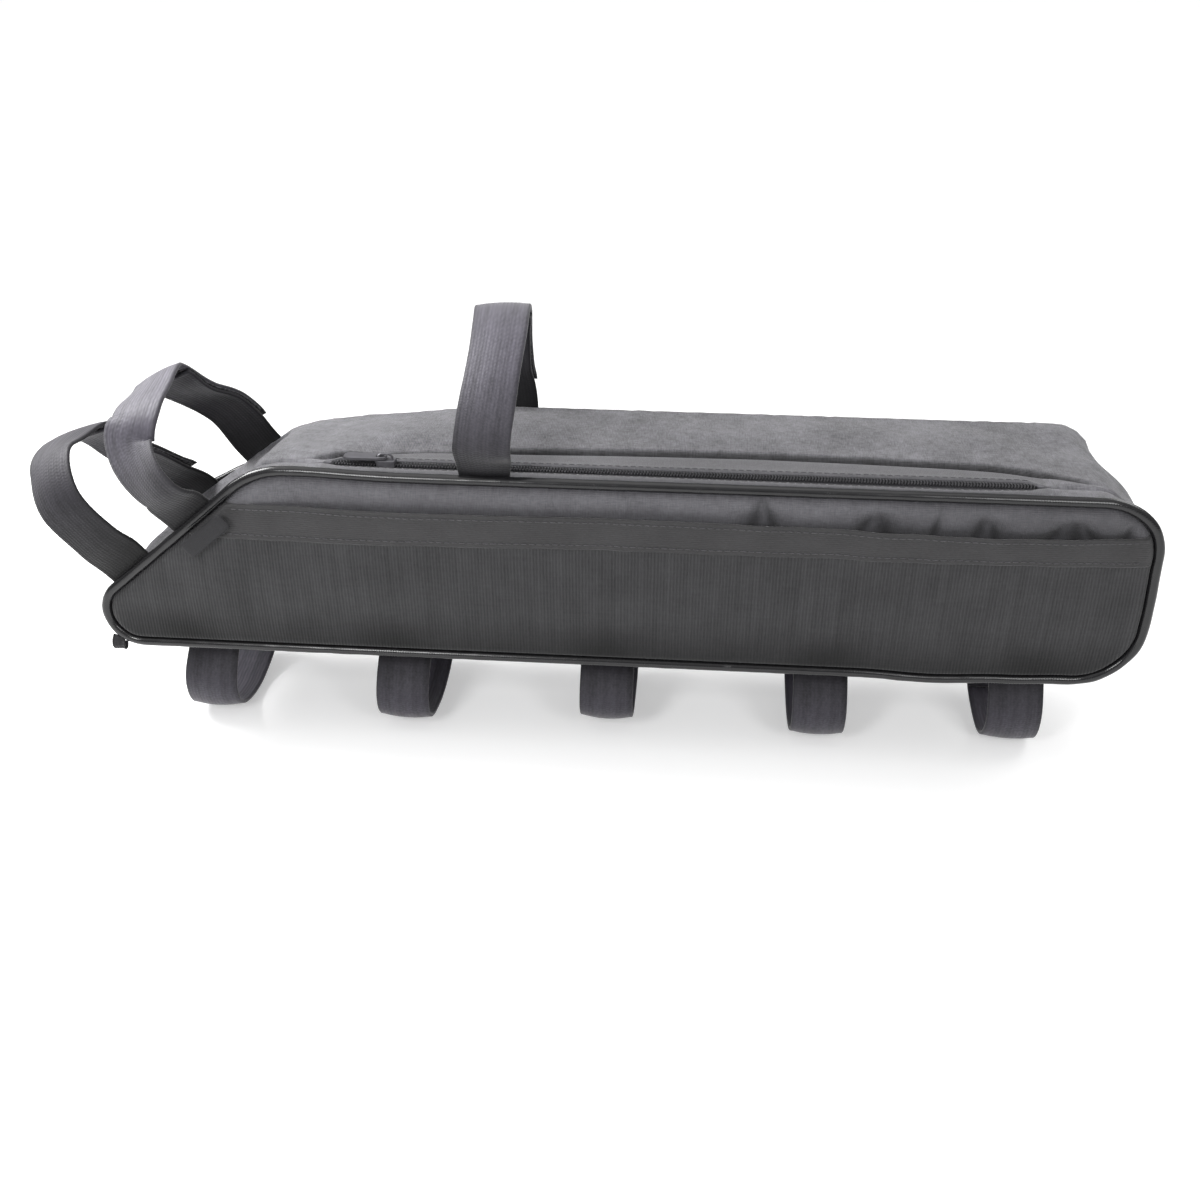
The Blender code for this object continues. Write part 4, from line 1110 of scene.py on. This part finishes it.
def make_corner_loop(paint):
    """The small loop at the nose's low corner."""
    path = resample(np.array(CORNER_LOOP), 0.6)[0]
    declare(sweep("corner_loop", path, (1, 0, 0), ribbon_section(6.0, 0.9), paint["webbing"]), "webbing")


# Inside

LINING_INSET = 8.6


def make_lining(paint):
    """The loose lining, seen when the flap is lifted."""
    x = np.linspace(NOSE_X + LINING_INSET + 0.4, TAIL_X - LINING_INSET - 0.2, 120)
    low, high = height_span(x, LINING_INSET)
    open_by = within(x, FLAP_LEFT - 6, FLAP_LEFT + 2, FLAP_RIGHT - 2, FLAP_RIGHT + 6)
    high = np.maximum(high + open_by * 3.6, low + 4.5)
    rows = []
    for a, b, o in zip(low, high, open_by):
        wall = [(-39.6, b - 2.4 - (b - a - 4.8) * t) for t in np.linspace(0, 1, 12)]
        floor = [(y, a) for y in np.linspace(-36, 36, 12)]
        start = [(-30.2 - 2 * (1 - o), b), (-33, b - o * 0.6), (-36, b - o * 1.6), (-38.6, b - 0.6 - o)]
        end = [(38.6, b - 0.6), (36.9, b)]
        path = start + wall + [(-38.6, a + 0.6)] + floor + [(38.6, a + 0.6)]
        path += [(-y, z) for y, z in reversed(wall)] + end
        rows.append(path)
    rows = np.array(rows)
    points = np.concatenate([np.broadcast_to(x[:, None, None], rows.shape[:2] + (1,)), rows], 2)
    inside = smooth(41 - np.abs(points[..., 1]), 1, 9) + 0.3
    points[..., 2] += 0.4 * inside * waves(points[..., 0], points[..., 1], 51, 24)
    wall = (np.abs(points[..., 1]) > 39.5) * np.sign(points[..., 1])
    points[..., 1] -= wall * 0.5 * (1 + waves(points[..., 0], points[..., 2], 53, 22))
    closing = np.concatenate([points, points[:, :1]], 1)
    count = points.shape[1]
    keep = np.ones((len(x) - 1, count), bool)
    keep[:, -1] = open_by[:-1] < 0.5
    run = np.append(run_lengths(rows[40]), 400)
    uv = np.stack(np.broadcast_arrays(x[:, None], run[None]), 2) * MM
    faces = grid_faces(len(x), count + 1, keep=keep)
    first = tuple(range(count))
    last = tuple((len(x) - 1) * (count + 1) + i for i in range(count))
    faces += [first, last[::-1]]
    obj = add_mesh("lining_cloth", slouch(closing), faces, paint["lining"], uv)
    declare(obj, "lining", "lining_tub", "gusset_foam")


def blended_halves(name, make, slot, replaced, left_x, right_x):
    """Two pieces that meet in the middle of the flap."""
    halves = (("left", LEFT_RAMP, left_x, SPLIT_X), ("right", RIGHT_RAMP, SPLIT_X, right_x))
    for label, ramp, start, end in halves:
        obj = make(name + "_" + label, start, end)
        declare(obj, slot, replaced, body=None)
        bend_with_flap(obj, ramp)


def rows_along(start, end, step, profile):
    """A grid of points: one profile of (y, z) repeated along the bag."""
    x = np.arange(start, end + 0.1, step)
    x[-1] = end
    profile = np.asarray(profile, float)
    points = np.zeros((len(x), len(profile), 3))
    points[..., 0] = x[:, None]
    points[..., 1:] = profile[None]
    return points


# The flap lining's course across the bag: up at both edges, flat between them
FLAP_LINING = [(-21.6, 84.3), (-22.2, 83.2), (-21.9, 82.0), (-20.5, 81.2), (-16, 80.9), (-8, 80.7),
               (0, 80.5), (8, 80.4), (16, 80.4), (24, 80.5), (31, 80.7), (34.5, 81.3), (36.2, 82.4),
               (36.8, 83.6)]


def make_flap_lining(paint):
    def make(name, start, end):
        points = rows_along(start, end, 4.0, FLAP_LINING)
        middle = smooth(36 - np.abs(points[..., 1] - 7), 8, 20)
        points[..., 2] += 0.35 * middle * waves(points[..., 0], points[..., 1], 61, 26)
        faces = grid_faces(*points.shape[:2], flip=True)
        return add_mesh(name, slouch(points), faces, paint["lining"], points[..., :2] * MM)

    blended_halves("flap_lining_cloth", make, "lining", "flap_lining", FLAP_LEFT + 2, FLAP_RIGHT - 2)


COIL_PITCH, COIL_OUT, COIL_WIDE, COIL_HIGH, COIL_Z = 1.3, 0.95, 0.72, 0.8, 84.75
COIL_WIRE, COIL_STEPS = 0.3, 9
TAPE_OUT, TAPE_Z = [0.9, 1.8, 2.6, 4.0, 6.5, 9.6], 84.1


def make_zip(paint):
    """Spiral coils on woven tapes."""
    def coil(side):
        def make(name, start, end):
            t = np.arange(0, (end - start) / COIL_PITCH, 1 / COIL_STEPS)
            angle = 2 * math.pi * t
            x = start + COIL_PITCH * t
            y = SLIT_Y + side * (COIL_OUT + COIL_WIDE * np.cos(angle))
            z = COIL_Z + COIL_HIGH * np.sin(angle)
            return tube(name, np.stack([x, y, z], 1), COIL_WIRE, 5, paint["nylon"])
        return make

    def tape(side):
        def make(name, start, end):
            profile = [(SLIT_Y + side * out, TAPE_Z) for out in TAPE_OUT]
            points = rows_along(start, end, 6.0, profile)
            faces = grid_faces(*points.shape[:2], flip=side < 0)
            return add_mesh(name, points, faces, paint["nylon"], points[..., :2] * MM)
        return make

    tape_left, tape_right = CLOTH_LEFT + 1, CLOTH_RIGHT - 1
    declare(coil(-1)("zip_coil_front_spiral", ZIP_LEFT, ZIP_RIGHT), "zip_nylon", "zip_coil_front")
    declare(tape(-1)("zip_tape_front_cloth", tape_left, tape_right), "zip_nylon", "zip_tape_front")
    blended_halves("zip_coil_back_spiral", coil(1), "zip_nylon", "zip_coil_back", ZIP_LEFT, ZIP_RIGHT)
    blended_halves("zip_tape_back_cloth", tape(1), "zip_nylon", "zip_tape_back", tape_left, tape_right)
    for node in ("slider_body", "pull_tab", "zip_stop_left", "zip_stop_right"):
        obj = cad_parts[node]
        obj.data.materials.clear()
        obj.data.materials.append(paint["metal"])
        obj.data.polygons.foreach_set("use_smooth", [False] * len(obj.data.polygons))
        rounding = obj.modifiers.new("soft edges", "BEVEL")
        rounding.width = 0.00022
        rounding.segments = 3
        rounding.limit_method = "ANGLE"
        rounding.harden_normals = True


# Straps

def bezier(knots, steps=26):
    """Points through knots given as (point, handle before, handle after)."""
    points = []
    for (start, _, leave), (end, arrive, _) in zip(knots, knots[1:]):
        corners = np.array([start, leave, arrive, end], float)
        for t in np.linspace(0, 1, steps + 1)[:-1]:
            weights = [(1 - t) ** 3, 3 * t * (1 - t) ** 2, 3 * t * t * (1 - t), t ** 3]
            points.append(np.dot(weights, corners))
    points.append(np.array(knots[-1][0], float))
    return np.array(points)


def arch_places(places):
    """A strap's course from the front seam to the back seam through its places."""
    foot = np.array([-FOOT_Y - 1.0, GAP - 1.6, places[0][2] * 1.2, 0])
    back_foot = np.array([FOOT_Y + LAYER, GAP, places[-1][2] * 0.8, 0])
    upright = np.array([0, FOOT_RISE, 0, 0])
    points = [foot, *np.array(places, float), back_foot]
    knots = [(foot, foot, foot + upright)]
    for before, point, after in zip(points, points[1:], points[2:]):
        pull = (after - before) / 6
        knots.append((point, point - pull, point + pull))
    knots.append((back_foot, back_foot + upright, back_foot))
    return bezier(knots)


def drop_places(front, rear, lean, ease, drop):
    """A hanging loop's course; ease is its bottom's move along the bag."""
    level = GAP + STRAP_CLOTH / 2 - 0.5
    belly = drop * 0.62
    pull = (drop - belly) * 0.7
    rear = rear + LAYER / 2

    def place(y, height, share):
        return np.array([y, height, ease * share, 0])

    foot = place(-SEAT_HALF - GAP, level, 0)
    back_foot = place(SEAT_HALF + LAYER, level + LAYER / 2, 0)
    return bezier([
        (foot, foot, place(-SEAT_HALF - 5, level + 5, 0)),
        (place(-front, belly, 0.6), place(-front, belly - 12, 0.3), place(-front, belly + pull, 0.8)),
        (place(lean, drop, 1), place((lean - front) / 2, drop, 1), place((lean + rear) / 2, drop, 1)),
        (place(rear, belly, 0.6), place(rear, belly + pull, 0.8), place(rear, belly - 12, 0.3)),
        (back_foot, place(back_foot[0] + 5, back_foot[1] + 5, 0), back_foot),
    ])


class Course:
    """Where a strap runs: its middle, the way across the webbing, and the way out of the loop."""

    def __init__(self, places, centre, across, up):
        y, height, side, turn = places.T[..., None]
        across, up = np.array(across, float), np.array(up, float)
        self.middle = np.array(centre, float) + y * (0, 1, 0) + height * up + side * across
        along = np.gradient(self.middle, axis=0)
        along /= np.linalg.norm(along, axis=1, keepdims=True)
        flat = across - (along @ across)[:, None] * along
        flat /= np.linalg.norm(flat, axis=1, keepdims=True)
        turn = np.radians(turn)
        self.across = flat * np.cos(turn) + np.cross(along, flat) * np.sin(turn)
        self.out = np.cross(self.across, along)
        self.height = height[:, 0]
        self.grip = 1 - smooth(self.height, 3, 26)

    def part(self, start, end):
        """The rows between two shares of the course."""
        last = len(self.middle) - 1
        return slice(round(last * start), round(last * end) + 1)


def ribbon_section(width, thickness):
    """Flat webbing with soft, slightly thicker selvedges."""
    w, h = width / 2, thickness / 2
    edge = min(0.45, w * 0.2)
    right = [(0, h), (w * 0.3, h), (w * 0.6, h), (w * 0.86, h * 0.94), (w - edge, h * 1.08),
             (w - edge * 0.25, h * 0.7), (w, 0.0)]
    top = [(-a, b) for a, b in reversed(right[1:])] + right
    return np.array(top + [(a, -b) for a, b in reversed(top[1:-1])])


def webbing(name, course, rows, offset, material, thickness=STRAP_CLOTH, tail=(), soft=0, pinch=0.0):
    """Webbing along part of a course, offset outwards from it, curling in at both edges."""
    middle, across, out = course.middle[rows], course.across[rows], course.out[rows]
    base = middle + out * offset
    for way, depth in tail:
        base = np.concatenate([base, base[-1:] + np.array(way) * depth])
        across, out = np.concatenate([across, across[-1:]]), np.concatenate([out, out[-1:]])
    section = ribbon_section(WEBBING, thickness)
    thin = np.ones(len(base))
    thin[-3:] = (0.9, 0.7, 0.45)
    bend = STRAP_CURL * (section[:, 0] / (WEBBING / 2)) ** 2
    run = run_lengths(base)
    feet = smooth(run, 0, 14) * (1 - smooth(run, run[-1] - 14, run[-1]))
    slack = 0.35 * feet[:, None] * waves(run[:, None], section[None, :, 0], 70 + soft, 33, spread=0.5)
    height = section[None, :, 1] * thin[:, None] - bend[None] * feet[:, None] + slack
    near_foot = np.concatenate([course.height[rows], np.zeros(len(base) - len(middle))])
    wide = (1 - pinch * (1 - smooth(near_foot, -2, 15)))[:, None, None]
    rings = base[:, None] + across[:, None] * section[None, :, :1] * wide + out[:, None] * height[..., None]
    grip = course.grip[rows]
    grip = np.concatenate([grip, np.ones(len(base) - len(grip))])[:, None, None]
    rings = rings + (slouch(rings) - rings) * grip
    uv = np.stack(np.broadcast_arrays(near_foot[:, None] * MM, section[None, :, 0] * MM), 2)
    # Each face starts one corner later, which sets the diagonal that a quad splits along.
    faces = [face[-1:] + face[:-1] for face in section_faces(len(base), len(section))]
    return add_mesh(name, rings, faces, material, uv)


def make_patch(name, course, end, body, paint, soft):
    """The hook patch under the strap's free end."""
    offset = -(STRAP_CLOTH + PATCH_CLOTH + GAP) / 2
    rows = course.part(TAB_START, end)
    patch = webbing(name + "_hooks", course, rows, offset, paint["hook"], PATCH_CLOTH, soft=soft)
    declare(patch, "hook_tape", name + "_hook_patch", body=body)


def make_arch_strap(name, centre, turn, places, body, cloth, paint, soft):
    """A loop that stands on the bag: webbing over a shorter tab, closed by a hook patch."""
    across = (math.cos(turn), 0, math.sin(turn))
    up = (-math.sin(turn), 0, math.cos(turn))
    course = Course(arch_places(places), centre, across, up)
    down = -np.array(up)
    pinch = 0.14 if turn == 0 else 0.05
    rows = course.part(0, ARCH_END)
    strap = webbing(name + "_webbing", course, rows, 0, cloth, soft=soft, pinch=pinch)
    declare(strap, "webbing", name, name + "_tail", body=None)
    x, z = centre[0] * MM, centre[2] * MM
    top = places[3][0]
    start, end = (x, (top - ARCH_BEND) * MM, z), (x, (top + ARCH_BEND) * MM, z)
    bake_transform(strap)
    tab = webbing(name + "_tab_webbing", course, course.part(TAB_START, 1), -LAYER, paint["loops"],
                  tail=[(down, 1.2), (down, 1.3)], soft=soft)
    declare(tab, "webbing", name + "_tab")
    make_patch(name, course, ARCH_PATCH_END, body, paint, soft)


def make_drop_strap(number, paint):
    """A loop that hangs below the bag, on its own sewn seat."""
    x, front, rear, lean, ease, drop = (values[number] for values in (
        BOTTOM_X, BOTTOM_FRONT, BOTTOM_REAR, BOTTOM_LEAN, BOTTOM_EASE, BOTTOM_DROP))
    name = f"bottom_strap_{number + 1}"
    body = f"bottom_tail_{number + 1}"
    course = Course(drop_places(front, rear, lean, ease, drop), (x, 0, 0), (-1, 0, 0), (0, 0, -1))
    strap = webbing(name + "_webbing", course, course.part(0, DROP_END), 0, paint["webbing"], soft=number)
    declare(strap, "webbing", name + "_tail", body=None)
    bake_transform(strap)
    rows = course.part(TAB_START, DROP_TAB_END)
    tab = webbing(name + "_tab_webbing", course, rows, -LAYER, paint["loops"], soft=number)
    level = -(GAP + STRAP_CLOTH / 2 - 0.5)
    seat = resample(np.array([[x, y, level] for y in (SEAT_HALF, 0, GAP - SEAT_HALF)]), 2)[0]
    section = ribbon_section(WEBBING, STRAP_CLOTH)
    base = sweep(name + "_seat_webbing", seat, (1, 0, 0), section, paint["webbing"])
    for obj in (tab, base):
        declare(obj, "webbing", name)
    make_patch(name, course, DROP_PATCH_END, body, paint, number)


def slope_place(run):
    """A place on the cloth of the slope, some way up it."""
    out = np.array([-math.sin(SLOPE), math.cos(SLOPE)])
    along = np.array([math.cos(SLOPE), math.sin(SLOPE)])
    place = NOSE_CENTRE + out * (NOSE_RADIUS - SKIN_INSET) + along * run
    return (place[0], 0, place[1])


def make_straps(paint):
    centre = (TOP_STRAP_X, 0, SKIN_Z)
    make_arch_strap("top_strap", centre, 0, TOP_LOOP, "top_tail", paint["webbing"], paint, 11)
    for soft, (label, places) in enumerate(NOSE_LOOPS.items(), 12):
        # Each nose loop wears its own lit or shaded copy of the webbing
        centre, cloth = slope_place(NOSE_RUNS[label]), paint["nose_" + label]
        name, body = "nose_strap_" + label, f"nose_{label}_tail"
        make_arch_strap(name, centre, SLOPE, places, body, cloth, paint, soft)
    for number in range(len(BOTTOM_X)):
        make_drop_strap(number, paint)


# Stitches

STITCH_STEP = 3.3
STITCH_SHAPE = [(-1.25, 0.1), (-0.8, 0.24), (0.8, 0.24), (1.25, 0.1)]


def stitch_mesh(name, runs, material):
    """Short rounded stitches laid along lines given as (points, normals)."""
    points, faces = [], []
    outward = [(a, d, c, b) for a, b, c, d in section_faces(len(STITCH_SHAPE), 4)]
    for line, normal in runs:
        both, _ = resample(np.concatenate([line, normal], 1), STITCH_STEP)
        for a, b in zip(both[:-1], both[1:]):
            centre = (a[:3] + b[:3]) / 2
            along = b[:3] - a[:3]
            length = np.linalg.norm(along)
            if not 1.5 < length < 6:
                continue
            along = along / length
            up = (a[3:] + b[3:]) / 2
            up = up - along * (up @ along)
            up = up / np.linalg.norm(up)
            side = np.cross(along, up)
            start = len(points)
            for reach, wide in STITCH_SHAPE:
                for s, u in ((wide, 0), (0, wide), (-wide, 0), (0, -wide)):
                    points.append(centre + along * reach + side * s + up * (u + 0.02))
            faces += [tuple(start + i for i in face) for face in outward]
    return add_mesh(name, points, faces, material)


def make_stitches(band, hem, paint):
    """Stitches along the zip's front lip and the hem tape, and along the flap's lip."""
    points, normals, starts, zone = band
    inside = np.where(zone)[0]
    beside_zip = inside[(RING[inside, 0] > ZIP_LEFT) & (RING[inside, 0] < ZIP_RIGHT)]
    row = starts[FRONT_LIP] + 1
    runs = [(points[beside_zip, row], normals[beside_zip, row])]
    out = np.array([0.0, -1.0, 0.0])
    for row in HEM_STITCH_ROWS:
        line = hem[row, 3:-3] + out * 0.1
        runs.append((line, np.broadcast_to(out, line.shape)))
    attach(stitch_mesh("seam_stitches", runs, paint["thread"]), "shell")
    row = starts[ZIP_BAND] - 2
    x = RING[beside_zip, 0]
    for label, ramp, half in (("left", LEFT_RAMP, x <= SPLIT_X), ("right", RIGHT_RAMP, x >= SPLIT_X)):
        part = beside_zip[half]
        runs = [(points[part, row], normals[part, row])]
        bend_with_flap(stitch_mesh("flap_stitches_" + label, runs, paint["thread"]), ramp)


# Studio

def make_camera():
    """The camera that the photograph was taken with, as solved from it."""
    cos_yaw, sin_yaw = math.cos(CAMERA_YAW), math.sin(CAMERA_YAW)
    cos_pitch, sin_pitch = math.cos(CAMERA_PITCH), math.sin(CAMERA_PITCH)
    cos_roll, sin_roll = math.cos(CAMERA_ROLL), math.sin(CAMERA_ROLL)
    ahead = Vector((sin_yaw * cos_pitch, cos_yaw * cos_pitch, -sin_pitch))
    right = Vector((cos_yaw, -sin_yaw, 0))
    up = right.cross(ahead)
    right, up = right * cos_roll + up * sin_roll, up * cos_roll - right * sin_roll
    data = bpy.data.cameras.new("camera")
    data.lens = CAMERA_LENS
    data.sensor_width = 36
    data.clip_start = 0.02
    obj = bpy.data.objects.new("camera", data)
    bpy.context.scene.collection.objects.link(obj)
    turned = Matrix((right, up, -ahead)).transposed().to_4x4()
    obj.matrix_world = Matrix.Translation(CAMERA_PLACE) @ turned
    bpy.context.scene.camera = obj


def make_light(name, place, aim, size, power):
    data = bpy.data.lights.new(name, "AREA")
    data.shape = "RECTANGLE"
    data.size, data.size_y = size
    data.energy = power
    obj = bpy.data.objects.new(name, data)
    bpy.context.scene.collection.objects.link(obj)
    obj.location = place
    direction = Vector(aim) - Vector(place)
    obj.rotation_mode = "QUATERNION"
    obj.rotation_quaternion = direction.to_track_quat("-Z", "Y")


FLOOR_Z, FLOOR_HALF, FLOOR_GLOW = -51.9, 30000.0, 0.34
SUN_POWER, SUN_ANGLE, SUN_AIM = 0.75, math.radians(60), (0.25, -0.05, -0.95)
# Soft lamps: name, place, aim, size in metres and power in watts
LAMPS = [
    ("soft_left", (-0.42, 0.08, 0.36), (-0.1, 0.0, 0.09), (0.24, 0.24), 3.4),
    ("soft_right", (0.55, 0.16, 0.42), (0.26, 0.0, 0.09), (0.24, 0.24), 0.7),
    ("front_left", (-0.2, -0.56, 0.36), (-0.06, -0.04, 0.08), (0.14, 0.2), 1.8),
    ("front_right", (0.42, -0.56, 0.36), (0.24, -0.04, 0.08), (0.18, 0.2), 1.15),
]


def make_studio():
    """A pale world and floor, a soft sun and four soft lamps."""
    scene = bpy.context.scene
    scene.view_settings.view_transform = "Standard"
    scene.world = bpy.data.worlds.new("studio")
    scene.world.use_nodes = True
    tree = scene.world.node_tree
    sky = tree.nodes["Background"]
    split = tree.nodes.new("ShaderNodeSeparateXYZ")
    tree.links.new(tree.nodes.new("ShaderNodeTexCoord").outputs["Generated"], split.inputs[0])
    climb = tree.nodes.new("ShaderNodeMapRange")
    for key, value in {1: 0.0, 2: 1.0, 3: 0.15, 4: 0.85}.items():
        climb.inputs[key].default_value = value
    tree.links.new(split.outputs["Z"], climb.inputs[0])
    tree.links.new(climb.outputs[0], sky.inputs["Strength"])
    sky.inputs["Color"].default_value = (1, 1, 1, 1)
    sun = bpy.data.objects.new("key", bpy.data.lights.new("key", "SUN"))
    sun.data.energy = SUN_POWER
    sun.data.angle = SUN_ANGLE
    sun.rotation_mode = "QUATERNION"
    sun.rotation_quaternion = Vector(SUN_AIM).to_track_quat("-Z", "Y")
    scene.collection.objects.link(sun)
    for lamp in LAMPS:
        make_light(*lamp)
    floor = Paint("pale_floor", 0.7, specular=0.1)
    grain = floor.noise(floor.point(*floor.place(uv=False)), 9.0, 3.0)
    seen = floor.node("ShaderNodeLightPath")
    glossy = Wire(floor, seen.socket.node.outputs["Is Glossy Ray"])
    white = (seen + glossy) * FLOOR_GLOW
    floor.tree.links.new(white.socket, floor.shader.inputs["Emission Color"])
    floor.shader.inputs["Emission Strength"].default_value = 1.0
    floor.colour(grain, [(0.3, 0.8), (0.7, 0.815)], WHITE)
    corners = [(x * FLOOR_HALF, y * FLOOR_HALF, FLOOR_Z) for x, y in ((-1, -1), (1, -1), (1, 1), (-1, 1))]
    add_mesh("floor", corners, [(0, 1, 2, 3)], floor.material)


def main():
    make_camera()
    make_studio()
    paint = make_materials()
    band = make_band(paint)
    make_sides(paint)
    hem = make_pocket(paint)
    make_tag(paint)
    make_corner_loop(paint)
    make_lining(paint)
    make_flap_lining(paint)
    make_zip(paint)
    make_straps(paint)
    make_stitches(band, hem, paint)


main()
